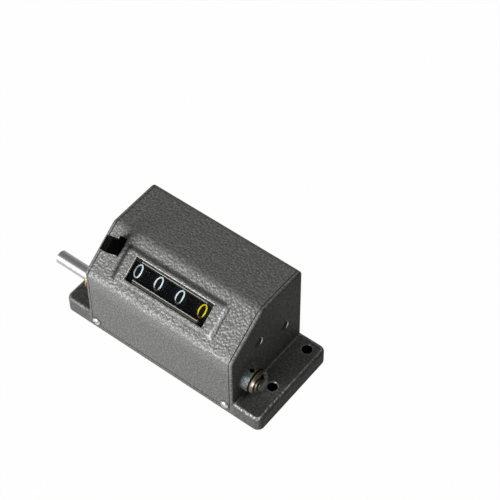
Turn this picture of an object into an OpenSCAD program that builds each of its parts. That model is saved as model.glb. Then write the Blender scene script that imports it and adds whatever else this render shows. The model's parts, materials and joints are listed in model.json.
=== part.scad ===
// Mechanical revolution counter: a cast base with two end cheeks, a folded cover with a raised
// window pad, four number wheels with carry pinions, a geared drive shaft and a reset key.
// Millimetres, Z up. The origin is the middle of the four mounting holes, on the underside.

/* [Base casting] */
// Width over the two end cheeks
cheek_w = 90; // [88:1:104]
// Thickness of each cheek
cheek_t = 4; // [3.5:0.25:5]
// Depth from front face to back face
depth = 54; // [52:1:66]
// Overall height
height = 58; // [57:0.5:66]
// Height of the front face, up to the slope
front_h = 40.8; // [40:0.2:45]
// Horizontal run of the slope
slope_run = 23.2; // [22:0.2:26]
// Outer radius of the folds in the profile
fold_r = 2.8; // [1.8:0.2:4]
// Length of each foot, out from its cheek
foot_len = 16; // [14:1:24]
// Thickness of the feet
foot_t = 9.4; // [9:0.2:10]
// Corner radius of the feet
foot_r = 5; // [2:0.5:6]
// Thickness of the floor between the cheeks
floor_t = 5; // [4:0.5:6]
// Diameter of the mounting holes
hole_d = 5.3; // [4.3:0.1:6.6]
// Distance from a cheek's outer face to its mounting holes
hole_out = 8.75; // [7:0.25:10]
// Distance from the front face to the first mounting hole
hole_front = 19.8; // [14:0.2:22]
// Distance between the mounting holes of one foot
hole_pitch = 27.6; // [22:0.2:30]

/* [Cover] */
// Thickness of the sheet
sheet_t = 1; // [0.8:0.1:1.2]
// Clearance between the cover and the casting
cover_gap = 0.05; // [0.02:0.01:0.1]
// Width of the cheek rim that shows beside the cover
rim_w = 1.9; // [1.5:0.1:2.2]
// Height of the cover's lower edge
cover_low = 2.8; // [2:0.1:3]
// Height of the raised pad round the window
pad_h = 1; // [0.6:0.1:1.4]
// Length of the window
window_l = 47; // [45:0.5:48]
// Width of the window, up the slope
window_w = 11.5; // [10:0.25:12]
// Thickness of the window pane
pane_t = 0.8; // [0.6:0.1:1]
// Width of the rail at the window's lower edge
low_rail_w = 2.1; // [1:0.1:2.5]
// Width of the rail at the window's upper edge
high_rail_w = 0.9; // [0.5:0.1:1.5]
// Thread diameter of the cover screws
screw_d = 2.5; // [2:0.1:3]
// Length of a cover screw under its head
screw_l = 7; // [5:0.5:8]

/* [Number wheels] */
// Radius of a drum
drum_r = 12.2; // [11.6:0.1:12.6]
// Width of a drum
drum_w = 7.4; // [7:0.1:7.6]
// Middle of the row of wheels, along the length
row_x = -2.4; // [-2.8:0.1:-2]
// Distance from wheel to wheel
wheel_pitch = 13; // [13:0.1:13.4]
// Distance up the slope from its lower fold to the wheel axle
axle_u = 14; // [13.6:0.1:14.6]
// Diameter of the wheel axle
axle_d = 5; // [4:0.1:5]
// Running clearance, radial, of every turning fit
run_gap = 0.04; // [0.02:0.01:0.08]
// Gap between the drums and the pane
drum_gap = 2.4; // [2.2:0.05:2.8]
// Diameter of the pinion shaft
pinion_shaft_d = 2.5; // [2:0.1:2.8]

/* [Drive] */
// Diameter of the drive shaft
shaft_d = 7; // [6:0.1:7.4]
// Height of the drive shaft's axis
shaft_h = 20.7; // [20:0.1:22]
// Length of the drive shaft beyond the left cheek
shaft_out = 28.2; // [20:0.2:40]
// Radius of the shaft bosses
boss_r = 6.6; // [6.4:0.1:8]
// Length of a boss, out from its cheek
boss_l = 5.5; // [5:0.25:6]
// Wall of the bronze bushes
bush_wall = 1.5; // [1:0.1:1.6]
// Teeth of the drive gear and of the wheel gear
gear_teeth = 23; // [20:1:26]
// Width of the drive gear's teeth
gear_w = 4; // [3:0.25:5]

/* [Reset] */
// Distance from the back face to the reset shaft
reset_back = 13.4; // [12:0.2:14]
// Height of the reset shaft
reset_h = 28; // [26.5:0.1:29]
// Diameter of the reset shaft
reset_d = 5; // [4:0.1:5]
// Thickness of the key, along the length
key_t = 3.9; // [3:0.1:4.4]
// Width of the key, up the slope
key_w = 7.7; // [7:0.1:8]
// How far the key stands out of the slope
key_out = 12.8; // [10:0.2:16]
// Travel of the key
key_travel = 7; // [6:0.1:7.2]
// Swing of the rocker at full travel, degrees
rocker_swing = 11; // [10:0.1:12]
// Clearance round the sliding key and its stem
key_gap = 0.1; // [0.05:0.01:0.2]

/* [Hidden] */
$fn = 64;
arc_n = 8;
nudge = 0.01;
press_gap = 0.02;
side_gap = 0.2;
mesh_gap = 0.3;
slope_a = atan2(height - front_h, slope_run);
bolt_mid = hole_front + hole_pitch / 2;
cheek_in = cheek_w / 2 - cheek_t;
cover_end = cheek_w / 2 - rim_w - cover_gap;
inset_d = sheet_t + cover_gap;
wall_t = 3.5;
lug_l = 5;
lug_d = 8;
post_r = 2;
post_h = 7;
recess_d = 1.5;
recess_gap = 0.2;

// Row of wheels: hundreds, tens, units, tenths
wheel_n = 4;
tenths = wheel_n - 1;
cam_slot = 2.2;
row_left = wheel_x(0) - drum_w / 2 - cam_slot;

// Key and rocker arm share the room between the left cheek and the row
stem_t = 2;
guide_side = 1.9;
flange_over = 0.9;
arm_t = 1.5;
left_room = cheek_in + row_left - arm_t - guide_side - stem_t / 2 - key_t / 2 - flange_over;
arm_share = 0.385;
guide_share = 0.17;
arm_gap = left_room * arm_share;
guide_gap = left_room * guide_share;
arm_left = row_left - arm_gap - arm_t;
key_x = arm_left - guide_gap - guide_side - stem_t / 2;

// Window, pad and pane, in slope coordinates: u up the slope, n out of it
window_right = 1.74;
window_down = 0.5;
window_x = row_x + window_right;
window_u = axle_u - window_down;
pad_left = 7.2;
pad_right = 7.7;
pad_below = 2.8;
pad_above = 4.4;
pad_r = 2.8;
pad_draft = 1.2;
pad_wall = sheet_t * 0.6;
pane_over = 0.9;
rail_inset = 3.8;
rail_t = 0.7;
floor_n = pad_h - sheet_t;

// Cover screws
screw_in = 0.6;
screw_x = cheek_in - screw_in;
screw_z = 5.7;
head_r = screw_d * 0.92;
head_h = screw_d * 0.6;
head_edge = head_h / 2;
head_top_r = head_r * 0.7;
slot_w = 0.6;

// Wheels
axle_r = axle_d / 2;
axle_n = floor_n - pane_t - drum_gap - drum_r;
hub_wall = 1;
hub_r = axle_r + run_gap + hub_wall;
cam_t = 1.6;
cam_wall = 1;
cam_lift = 2.4;
cam_low_r = hub_r + cam_wall;
cam_high_r = cam_low_r + cam_lift;
disc_t = 1.4;
carry_w = 1.6;
rim_t = 1.3;
web_t = 2.4;
hollow_wall = 1;
washer_t = 1.6;
washer_over = 3;
collar_t = 1.5;
spacer_wall = 1.5;

// Carry gears and pinions: two carry teeth to each of a wheel's ten figures
carry_teeth = 20;
pinion_teeth = 8;
carry_add = 0.9;
carry_ded = 1.1;
notch_teeth = 2;
pinion_shaft_r = pinion_shaft_d / 2;
pinion_clear = 0.55;
carry_dist = drum_r + pinion_clear + pinion_shaft_r;
carry_mod = 2 * carry_dist / (carry_teeth + pinion_teeth);
pinion_tip_r = carry_mod * (pinion_teeth / 2 + carry_add);
disc_r = carry_dist - pinion_tip_r - mesh_gap;
carry_play = 0.2;
notch_w = carry_mod * 1.2;

// Drive gears: the shaft stands so that its gear just clears the front wall
gear_clear = 0.4;
gear_room = sheet_t + gear_clear;
gear_add = 1;
gear_ded = 1.2;
gear_k = (1 + 2 * gear_add / gear_teeth) / 2;
axle_y = slope_yz(axle_u, axle_n)[0];
axle_z = slope_yz(axle_u, axle_n)[1];
axle_p = [axle_y, axle_z];
gear_a = axle_y - gear_room;
gear_h = axle_z - shaft_h;
gear_dist = (sqrt(pow(gear_a * gear_k, 2) + (1 - pow(gear_k, 2)) * (pow(gear_a, 2) + pow(gear_h, 2)))
    - gear_a * gear_k) / (1 - pow(gear_k, 2));
gear_mod = gear_dist / gear_teeth;
shaft_p = [gear_room + gear_k * gear_dist, shaft_h];
shaft_r = shaft_d / 2;
gear_play = 0.12;
gear_x = wheel_x(tenths) + drum_w / 2 + washer_t;
gear_over = 0.2;
hub_share = 4 / 9;
drive_wall = 2;
drive_hub_r = shaft_r + drive_wall;
pin_r = 1;
bush_r = shaft_r + bush_wall;
flange_in = 0.5;
flange_r = boss_r - flange_in;
flange_t = 1;
bush_in = cheek_in;
hub_l = (bush_in - gear_x - gear_w - gear_over) * hub_share;
bush_out = cheek_w / 2 + boss_l;
ring_t = 1;
ring_gap = 0.05;
groove_d = 0.5;
groove_r = shaft_r - groove_d;
ring_over = 1.5;
ring_r = shaft_r + ring_over;
ring_mouth = groove_r * 1.2;
end_past = 1.4;
shaft_chamfer = 0.6;
relief_w = 0.8;
relief_d = 0.25;
relief_x = -bush_out - flange_t - mesh_gap;
oil_out = 3.1;
oil_x = cheek_w / 2 + oil_out;
oil_r = 1.6;
oil_bore_r = 1.1;

// Reset train
reset_p = [depth - reset_back, reset_h];
reset_r = reset_d / 2;
sleeve_wall = 2;
sleeve_r = reset_r + sleeve_wall;
reach = norm(reset_p - axle_p);
lead_a = atan2(reset_p[1] - axle_p[1], reset_p[0] - axle_p[0]);
pinion_a = lead_a + acos(carry_dist / reach);
pinion_p = axle_p + carry_dist * ray(pinion_a);
pinion_end = turned(pinion_p, reset_p, -rocker_swing);
arm_right = wheel_x(tenths) + drum_w / 2 + washer_t + gear_w / 2;
arm_wall = 1.75;
arm_tip_r = pinion_shaft_r + arm_wall;
hammer_t = 1.4;
hammer_face = cam_high_r + mesh_gap;
hammer_past = 3.5;
hammer_l = sqrt(pow(reach, 2) - pow(hammer_face, 2)) + hammer_past;
hammer_a = lead_a - acos(hammer_face / reach) - 90 + rocker_swing;
hammer_wall = 1.5;
hammer_ring_r = sleeve_r + hammer_wall;
hammer_root = 4.5;
hammer_tip = 1.5;

// Key, stem and wedge, in slope coordinates
key_up = 1.2;
key_u = axle_u + key_up;
slot_past = 1.6;
flange_h = 1.8;
web_u = axle_u + axle_r + side_gap;
guide_web = 0.9;
stem_u = web_u + guide_web + key_gap;
stem_past = 4.6;
stem_end = axle_n - stem_past;
stem_top = -inset_d - flange_h;
pin_rest = slope_un(pinion_p);
pin_full = slope_un(pinion_end) + [0, key_travel];
ramp_dir = (pin_full - pin_rest) / norm(pin_full - pin_rest);
ramp_off = (pinion_shaft_r + side_gap) * [-ramp_dir[1], ramp_dir[0]];
ramp_past = 0.8;
ramp_edge = 1;
guide_h = 3;
guide_n = stem_top - key_travel - side_gap - guide_h;

// Return spring, wound round the right spacer of the reset shaft
wire_r = 0.5;
wire_gap = 0.15;
spring_r = sleeve_r + wire_r + wire_gap;
spring_pitch = 1.6;
spring_share = 0.5;
leg_l = 9;
spring_sides = 8;
turn_steps = 24;
spring_x = arm_right + arm_t - side_gap;
spring_turns = round(spring_share * (cheek_in - spring_x) / spring_pitch);
arm_a = atan2(pinion_p[1] - reset_p[1], pinion_p[0] - reset_p[0]);
spring_sweep = arm_a - 90 + 360 * spring_turns;
spring_steps = round(spring_sweep / 360 * turn_steps);
spring_end_x = spring_x + spring_pitch * spring_sweep / 360;
leg_y = reset_p[0] + spring_r;
leg_low = floor_t + mesh_gap;

// Points and directions
function ray(a) = [cos(a), sin(a)];
function unit(v) = v / norm(v);
function turned(p, c, a) =
    let (d = p - c) c + [d[0] * cos(a) - d[1] * sin(a), d[0] * sin(a) + d[1] * cos(a)];
function slope_yz(u, n) = [0, front_h] + u * ray(slope_a) + n * ray(slope_a + 90);
function slope_un(p) = let (d = p - [0, front_h]) [d * ray(slope_a), d * ray(slope_a + 90)];
function wheel_x(i) = row_x + wheel_pitch * (i - (wheel_n - 1) / 2);

// Arc of radius r that rounds the corner b between the sides to a and c
function corner(a, b, c, r) =
    let (
        u = unit(a - b),
        v = unit(c - b),
        half = acos(u * v) / 2,
        mid = b + unit(u + v) * r / sin(half),
        from = b + u * r / tan(half) - mid,
        to = b + v * r / tan(half) - mid,
        a0 = atan2(from[1], from[0]),
        turn = atan2(to[1], to[0]) - a0,
        sweep = turn > 180 ? turn - 360 : turn < -180 ? turn + 360 : turn
    )
    [for (i = [0:arc_n]) mid + r * ray(a0 + sweep * i / arc_n)];

// Side profile of the body, drawn in by d, from the height low upwards
function profile(d, low) =
    let (
        t1 = d * (1 - sin(slope_a)) / cos(slope_a),
        t2 = (height - front_h - d + d * cos(slope_a)) / sin(slope_a),
        fold = [d, front_h - d * cos(slope_a) + t1 * sin(slope_a)],
        crest = [d * sin(slope_a) + t2 * cos(slope_a), height - d],
        back = [depth - d, height - d],
        foot1 = [d, low],
        foot2 = [depth - d, low],
        r = max(fold_r - d, 0.2)
    )
    concat(
        [foot1],
        corner(foot1, fold, crest, r),
        corner(fold, crest, back, r),
        corner(crest, back, foot2, r),
        [foot2]
    );

// Spur gear outline with involute flanks, its first tooth along the first axis
pressure_a = 20;
function inv_deg(a) = tan(a) * 180 / PI - a;
function half_tooth(r, pitch_r, half) =
    let (a = acos(min(1, pitch_r * cos(pressure_a) / r))) half + inv_deg(pressure_a) - inv_deg(a);
function gear_outline(teeth, mod, add, ded, play) =
    let (
        pitch_r = teeth * mod / 2,
        half = 90 / teeth - play / pitch_r * 90 / PI,
        root_r = pitch_r - ded * mod,
        base_r = max(root_r, pitch_r * cos(pressure_a)),
        tip_r = pitch_r + add * mod,
        radii = concat([root_r], [for (i = [0:4]) base_r + (tip_r - base_r) * i / 4])
    )
    [for (k = [0:teeth - 1])
        for (side = [-1, 1])
            for (i = [0:len(radii) - 1])
                let (
                    r = radii[side < 0 ? i : len(radii) - 1 - i],
                    a = k * 360 / teeth + side * half_tooth(max(r, base_r), pitch_r, half)
                )
                r * ray(a)];

// Heart-shaped cam outline, lowest along the first axis
cam_step = 6;
function heart_outline(low, high) =
    [for (a = [0:cam_step:360 - cam_step])
        (low + (high - low) * (1 - abs(180 - a) / 180)) * ray(a)];

// Placing helpers
module from_front() { translate([0, -bolt_mid, 0]) children(); }
module along_x(x0, x1) { translate([x0, 0, 0]) rotate([90, 0, 90]) linear_extrude(x1 - x0) children(); }
module on_slope() { translate([0, 0, front_h]) rotate([slope_a, 0, 0]) children(); }
module rod(p, r, x0, x1) { along_x(x0, x1) translate(p) circle(r); }
module tube(p, r_in, r_out, x0, x1) {
    along_x(x0, x1) translate(p) difference() {
        circle(r_out);
        circle(r_in);
    }
}
module both_sides() {
    children();
    mirror([1, 0, 0]) children();
}
module front_and_back() {
    children();
    translate([0, depth, 0]) mirror([0, 1, 0]) children();
}
module slab(x0, u0, n0, x1, u1, n1) { translate([x0, u0, n0]) cube([x1 - x0, u1 - u0, n1 - n0]); }
module rounded(x0, y0, x1, y1, r) {
    translate([x0 + r, y0]) square([x1 - x0 - 2 * r, y1 - y0]);
    translate([x0, y0 + r]) square([x1 - x0, y1 - y0 - 2 * r]);
    for (x = [x0 + r, x1 - r], y = [y0 + r, y1 - r]) translate([x, y]) circle(r);
}

// Base casting: feet, floor, cheeks, bosses, screw lugs and the spring's post
module base_solid() {
    foot_end = cheek_w / 2 + foot_len;
    difference() {
        linear_extrude(foot_t) rounded(-foot_end, 0, foot_end, depth, foot_r);
        slab(-cheek_in, wall_t, floor_t, cheek_in, depth - wall_t, foot_t + nudge);
        front_and_back()
            slab(-cover_end - cover_gap, -nudge, cover_low - cover_gap,
                cover_end + cover_gap, inset_d, foot_t + nudge);
    }
    both_sides() {
        along_x(cover_end + cover_gap, cheek_w / 2) polygon(profile(0, 0));
        along_x(cheek_in, cover_end + 2 * cover_gap) polygon(profile(inset_d, 0));
        rod(shaft_p, boss_r, cheek_in, bush_out);
        front_and_back()
            slab(cheek_in - lug_l, inset_d, nudge, cheek_in + nudge, lug_d, foot_t);
    }
    translate([spring_end_x, leg_y - wire_r - wire_gap - post_r, floor_t - nudge])
        cylinder(r = post_r, h = post_h);
}
module base_frame() {
    color("#8d8f8e") from_front() difference() {
        base_solid();
        for (x = [-1, 1], y = [hole_front, hole_front + hole_pitch])
            translate([x * (cheek_w / 2 + hole_out), y, -nudge])
                cylinder(d = hole_d, h = foot_t + 2 * nudge);
        both_sides() {
            rod(shaft_p, bush_r + press_gap, cheek_in - nudge, bush_out + nudge);
            for (p = [[axle_p, axle_r], [reset_p, reset_r]]) {
                rod(p[0], p[1] + press_gap, cheek_in - nudge, cheek_w / 2 + nudge);
                rod(p[0], p[1] + recess_gap, cheek_w / 2 - recess_d, cheek_w / 2 + nudge);
            }
            translate([oil_x, shaft_p[0], shaft_h])
                cylinder(r = oil_r + press_gap, h = boss_r + nudge);
            front_and_back() cover_screw_bore(screw_d / 2 + press_gap, lug_d);
        }
    }
}
module cover_screw_bore(r, l) {
    translate([screw_x, -nudge, screw_z]) rotate([-90, 0, 0]) cylinder(r = r, h = l);
}

// Folded cover with its raised pad, window and key slot
module pad_block(inset, n0, n1) {
    x0 = window_x - window_l / 2 - pad_left + inset;
    u0 = window_u - window_w / 2 - pad_below + inset;
    x1 = window_x + window_l / 2 + pad_right - inset;
    u1 = window_u + window_w / 2 + pad_above - inset;
    hull() {
        translate([0, 0, n0]) linear_extrude(nudge) rounded(x0, u0, x1, u1, pad_r);
        translate([0, 0, n1 - nudge]) linear_extrude(nudge)
            rounded(x0 + pad_draft, u0 + pad_draft, x1 - pad_draft, u1 - pad_draft, pad_r - pad_draft);
    }
}
module cover() {
    x0 = window_x - window_l / 2;
    u0 = window_u - window_w / 2;
    color("#9a9c9b") from_front() difference() {
        union() {
            along_x(-cover_end, cover_end) difference() {
                polygon(profile(0, cover_low));
                polygon(profile(sheet_t, cover_low - nudge));
            }
            on_slope() pad_block(0, -nudge, pad_h);
        }
        on_slope() {
            pad_block(pad_wall, -sheet_t - nudge, floor_n);
            slab(x0, u0, -sheet_t, x0 + window_l, u0 + window_w, pad_h + nudge);
            slab(key_x - key_t / 2 - key_gap, key_u - key_gap, -sheet_t - nudge,
                key_x + key_t / 2 + key_gap, key_u + key_w + slot_past, nudge);
        }
        both_sides() front_and_back() cover_screw_bore(screw_d / 2 + cover_gap, sheet_t + 2 * nudge);
    }
}
module cover_screws() {
    color("#d4d6d8") from_front() both_sides() front_and_back()
        translate([screw_x, 0, screw_z]) rotate([90, 0, 0]) difference() {
            union() {
                translate([0, 0, -screw_l]) cylinder(d = screw_d, h = screw_l);
                cylinder(r = head_r, h = head_edge);
                translate([0, 0, head_edge])
                    cylinder(r1 = head_r, r2 = head_top_r, h = head_h - head_edge);
            }
            translate([-head_r, -slot_w / 2, head_edge]) cube([2 * head_r, slot_w, head_h]);
        }
}
module window_pane() {
    color("#dfe8ec", 0.4) from_front() on_slope()
        slab(window_x - window_l / 2 - pane_over, window_u - window_w / 2 - pane_over, floor_n - pane_t,
            window_x + window_l / 2 + pane_over, window_u + window_w / 2 + pane_over, floor_n);
}
module window_rails() {
    x0 = window_x - window_l / 2 + rail_inset;
    x1 = window_x + window_l / 2 - rail_inset;
    u0 = window_u - window_w / 2;
    u1 = window_u + window_w / 2;
    color("#b9bbba") from_front() on_slope() {
        slab(x0, u0, floor_n, x1, u0 + low_rail_w, floor_n + rail_t);
        slab(x0, u1 - high_rail_w, floor_n, x1, u1, floor_n + rail_t);
    }
}

// Fixed axles, collars, spacers and bushes
module wheel_axle() {
    end = cheek_w / 2 - recess_d;
    color("#b4b6b8") from_front() rod(axle_p, axle_r, -end, end);
}
module axle_collar() {
    x = wheel_x(0) - drum_w / 2 - cam_slot - side_gap;
    color("#a7a9ab") from_front() tube(axle_p, axle_r + press_gap, hub_r, x - collar_t, x);
}
module axle_spacer() {
    x = gear_x + gear_w + side_gap;
    color("#a7a9ab") from_front() tube(axle_p, axle_r + press_gap, axle_r + spacer_wall, x, cheek_in);
}
module reset_shaft() {
    end = cheek_w / 2 - recess_d;
    color("#b4b6b8") from_front() rod(reset_p, reset_r, -end, end);
}
module reset_spacers() {
    r = reset_r + spacer_wall;
    color("#a7a9ab") from_front() {
        tube(reset_p, reset_r + press_gap, r, -cheek_in, arm_left - side_gap);
        tube(reset_p, reset_r + press_gap, r, arm_right + arm_t + side_gap, cheek_in);
    }
}
module bush() {
    difference() {
        union() {
            rod(shaft_p, bush_r, bush_in, bush_out);
            rod(shaft_p, flange_r, bush_out, bush_out + flange_t);
        }
        rod(shaft_p, shaft_r + run_gap, bush_in - nudge, bush_out + flange_t + nudge);
        translate([oil_x, shaft_p[0], shaft_h]) cylinder(r = oil_bore_r, h = boss_r);
    }
}
module bush_left() { color("#b98b3e") from_front() mirror([1, 0, 0]) bush(); }
module bush_right() { color("#b98b3e") from_front() bush(); }
module oil_eyelets() {
    low = bush_r + press_gap;
    color("#b8923f") from_front() both_sides()
        translate([oil_x, shaft_p[0], shaft_h + low]) difference() {
            cylinder(r = oil_r, h = boss_r - low);
            translate([0, 0, -nudge]) cylinder(r = oil_bore_r, h = boss_r);
        }
}

// Drive shaft and what turns with it
module drive_shaft() {
    left = -cheek_w / 2 - shaft_out;
    ring_x = bush_out + flange_t + 2 * ring_gap + ring_t;
    right = ring_x + ring_t + end_past;
    color("#c9cbcd") from_front() difference() {
        union() {
            rod(shaft_p, shaft_r, left + shaft_chamfer, right - shaft_chamfer);
            shaft_tip(left + shaft_chamfer, -1);
            shaft_tip(right - shaft_chamfer, 1);
        }
        tube(shaft_p, groove_r, shaft_r + nudge, ring_x, ring_x + ring_t + 2 * ring_gap);
        tube(shaft_p, shaft_r - relief_d, shaft_r + nudge, relief_x - relief_w, relief_x);
        pin_bore(shaft_r + nudge);
    }
}
module shaft_tip(x, way) {
    translate([x, shaft_p[0], shaft_p[1]]) rotate([0, way * 90, 0])
        cylinder(r1 = shaft_r, r2 = shaft_r - shaft_chamfer, h = shaft_chamfer);
}
module pin_bore(l) {
    translate([gear_x + gear_w + gear_over + hub_l / 2, shaft_p[0], shaft_p[1] - l])
        cylinder(r = pin_r + press_gap, h = 2 * l);
}
module drive_gear() {
    x = gear_x - gear_over;
    face = x + gear_w + 2 * gear_over;
    mesh_a = atan2(axle_p[1] - shaft_p[1], axle_p[0] - shaft_p[0]);
    color("#c2a257") from_front() difference() {
        union() {
            along_x(x, face) translate(shaft_p) rotate(mesh_a)
                polygon(gear_outline(gear_teeth, gear_mod, gear_add, gear_ded, gear_play));
            rod(shaft_p, drive_hub_r, face - nudge, face + hub_l);
        }
        rod(shaft_p, shaft_r + press_gap, x - nudge, face + hub_l + nudge);
        pin_bore(drive_hub_r + nudge);
    }
}
module gear_pin() {
    color("#9c9ea0") from_front()
        translate([gear_x + gear_w + gear_over + hub_l / 2, shaft_p[0], shaft_p[1] - drive_hub_r])
            cylinder(r = pin_r, h = 2 * drive_hub_r);
}
module drive_spacer() {
    x = gear_x + gear_w + gear_over + hub_l;
    color("#a7a9ab") from_front() tube(shaft_p, shaft_r + press_gap, drive_hub_r, x, bush_in - side_gap);
}
module thrust_washer() {
    x = bush_out + flange_t + ring_gap;
    color("#c4c6c8") from_front() tube(shaft_p, shaft_r + press_gap, flange_r, x, x + ring_t);
}
module retaining_ring() {
    x = bush_out + flange_t + 3 * ring_gap + ring_t;
    color("#6f7072") from_front() along_x(x, x + ring_t) translate(shaft_p) difference() {
        circle(ring_r);
        circle(groove_r + press_gap);
        translate([-ring_mouth / 2, 0]) square([ring_mouth, 2 * ring_r]);
    }
}

// Number wheels, with the heart cam and carry disc of each
module number_wheel(i) {
    x = wheel_x(i);
    left = x - drum_w / 2;
    right = x + drum_w / 2;
    hub_end = left - cam_slot - (i > 0 ? disc_t : 0);
    color("#26282a") from_front() difference() {
        union() {
            rod(axle_p, drum_r, left, right);
            rod(axle_p, hub_r, hub_end, left + nudge);
            if (i < tenths)
                along_x(right - nudge, right + carry_w) translate(axle_p) rotate(pinion_a)
                    polygon(gear_outline(carry_teeth, carry_mod, carry_add, carry_ded, carry_play));
        }
        tube(axle_p, hub_r + hollow_wall, drum_r - rim_t, left - nudge, right - web_t);
        rod(axle_p, axle_r + run_gap, hub_end - nudge, right + carry_w + nudge);
    }
}
module heart_cam(i) {
    x = wheel_x(i) - drum_w / 2;
    color("#2b2b2b") from_front() along_x(x - cam_t, x) translate(axle_p) difference() {
        rotate(hammer_a - rocker_swing - 90) polygon(heart_outline(cam_low_r, cam_high_r));
        circle(hub_r + press_gap);
    }
}
module carry_disc(i) {
    x = wheel_x(i) - drum_w / 2 - cam_slot;
    color("#2b2b2b") from_front() along_x(x - disc_t, x) translate(axle_p) difference() {
        circle(disc_r);
        circle(hub_r + press_gap);
        for (side = [-1, 1])
            rotate(pinion_a + (notch_teeth + side / 2) * 360 / carry_teeth)
                translate([disc_r - notch_w, -notch_w / 2]) square([2 * notch_w, notch_w]);
    }
}
module wheel_gear() {
    mesh_a = atan2(shaft_p[1] - axle_p[1], shaft_p[0] - axle_p[0]);
    color("#c2a257") from_front() along_x(gear_x, gear_x + gear_w) translate(axle_p) difference() {
        rotate(mesh_a + 180 / gear_teeth)
            polygon(gear_outline(gear_teeth, gear_mod, gear_add, gear_ded, gear_play));
        circle(axle_r + run_gap);
    }
}
module clutch_washer() {
    x = wheel_x(tenths) + drum_w / 2;
    color("#c9b27a") from_front() tube(axle_p, axle_r + run_gap, hub_r + washer_over, x, gear_x);
}

// Carry pinions on their shaft, and the rocker that carries it
module carry_pinion(i) {
    x = wheel_x(i) + drum_w / 2 + side_gap;
    l = carry_w + disc_t;
    color("#d8d3c4") from_front() along_x(x, x + l) translate(pinion_p) difference() {
        rotate(pinion_a + 180 + 180 / pinion_teeth)
            polygon(gear_outline(pinion_teeth, carry_mod, carry_add, carry_ded, carry_play));
        circle(pinion_shaft_r + run_gap);
    }
}
module pinion_shaft() {
    color("#b4b6b8") from_front()
        rod(pinion_p, pinion_shaft_r, key_x - stem_t / 2 - side_gap, arm_right + arm_t + side_gap);
}
module rocker_arm(x) {
    side = atan2(sleeve_r - arm_tip_r, norm(pinion_p - reset_p));
    along_x(x, x + arm_t) {
        translate(reset_p) circle(sleeve_r);
        translate(pinion_p) circle(arm_tip_r);
        polygon([
            reset_p + sleeve_r * ray(arm_a + 90 - side),
            pinion_p + arm_tip_r * ray(arm_a + 90 - side),
            pinion_p + arm_tip_r * ray(arm_a - 90 + side),
            reset_p + sleeve_r * ray(arm_a - 90 + side)
        ]);
    }
}
module reset_rocker() {
    color("#9fa1a3") from_front() difference() {
        union() {
            rod(reset_p, sleeve_r, arm_left, arm_right + arm_t);
            rocker_arm(arm_left);
            rocker_arm(arm_right);
        }
        rod(reset_p, reset_r + run_gap, arm_left - nudge, arm_right + arm_t + nudge);
        rod(pinion_p, pinion_shaft_r + press_gap, arm_left - nudge, arm_right + arm_t + nudge);
    }
}
module reset_hammers() {
    color("#a9abad") from_front() for (i = [0:tenths]) {
        x = wheel_x(i) - drum_w / 2 - cam_slot / 2 - hammer_t / 2;
        along_x(x, x + hammer_t) translate(reset_p) difference() {
            union() {
                circle(hammer_ring_r);
                rotate(hammer_a) polygon([
                    [0, 0],
                    [hammer_l, 0],
                    [hammer_l, hammer_tip],
                    [0, hammer_root]
                ]);
            }
            circle(sleeve_r + press_gap);
        }
    }
}
function coil_yz(a) = reset_p + spring_r * ray(a);
function coil_gap(turns) =
    let (pts = [for (p = turns) [p[0], coil_yz(p[1])[0], coil_yz(p[1])[1]]], n = len(pts))
    min([for (i = [0:n - 1], j = [i + turn_steps / 2:1:n - 1]) norm(pts[i] - pts[j])]) - 2 * wire_r;
module return_spring() {
    start_a = arm_a - 90;
    turns = [for (i = [0:spring_steps])
        let (t = i / spring_steps)
        [spring_x + (spring_end_x - spring_x) * t, start_a - spring_sweep * t, 0]];
    echo("return_spring, least gap between turns", coil_gap(turns));
    path = concat([[spring_x, start_a, leg_l]], turns, [[spring_end_x, 0, -1]]);
    rings = [for (p = path)
        let (
            c = p[2] < 0 ? [leg_y, leg_low] : coil_yz(p[1]) + p[2] * ray(arm_a)
        )
        [for (k = [0:spring_sides - 1])
            let (
                a = 360 * k / spring_sides,
                yz = c + wire_r * cos(a) * ray(p[1])
            )
            [p[0] + wire_r * sin(a), yz[0], yz[1]]]];
    n = len(rings);
    m = spring_sides;
    points = [for (r = rings) for (q = r) q];
    sides = [for (i = [0:n - 2]) for (k = [0:m - 1])
        let (a = i * m + k, b = i * m + (k + 1) % m)
        each [[a, b, b + m], [a, b + m, a + m]]];
    caps = concat(
        [for (k = [1:m - 2]) [0, k + 1, k]],
        [for (k = [1:m - 2]) [(n - 1) * m, (n - 1) * m + k, (n - 1) * m + k + 1]]
    );
    color("#8f9193") from_front() polyhedron(points, concat(sides, caps));
}

// Reset key, its stem with the wedge, and the guide on the left cheek
module reset_key() {
    top = -inset_d;
    color("#17181a") from_front() on_slope() {
        slab(key_x - key_t / 2, key_u, top - flange_h, key_x + key_t / 2, key_u + key_w, key_out);
        slab(key_x - key_t / 2 - flange_over, key_u - flange_over, top - flange_h,
            key_x + key_t / 2 + flange_over, key_u + key_w + flange_over, top);
    }
}
module key_stem() {
    low = pin_rest + ramp_off - ramp_past * ramp_dir;
    high = pin_full + ramp_off + ramp_past * ramp_dir;
    stem_u1 = key_u + key_w;
    color("#aeb0b2") from_front() on_slope() along_x(key_x - stem_t / 2, key_x + stem_t / 2) polygon([
        [stem_u, stem_end],
        [stem_u1, stem_end],
        [stem_u1, low[1] - ramp_edge],
        low,
        high,
        [high[0], high[1] + ramp_edge],
        [stem_u1, high[1] + ramp_edge],
        [stem_u1, stem_top],
        [stem_u, stem_top]
    ]);
}
module key_guide() {
    x0 = key_x - stem_t / 2 - key_gap;
    x1 = key_x + stem_t / 2 + key_gap;
    u1 = key_u + key_w;
    color("#77797b") from_front() on_slope() {
        slab(-cheek_in, web_u, guide_n, x0, u1, guide_n + guide_h);
        slab(x0 - nudge, web_u, guide_n, x1 + nudge, web_u + guide_web, guide_n + guide_h);
        slab(x1, web_u, guide_n, x1 + guide_side, u1, guide_n + guide_h);
    }
}

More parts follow.
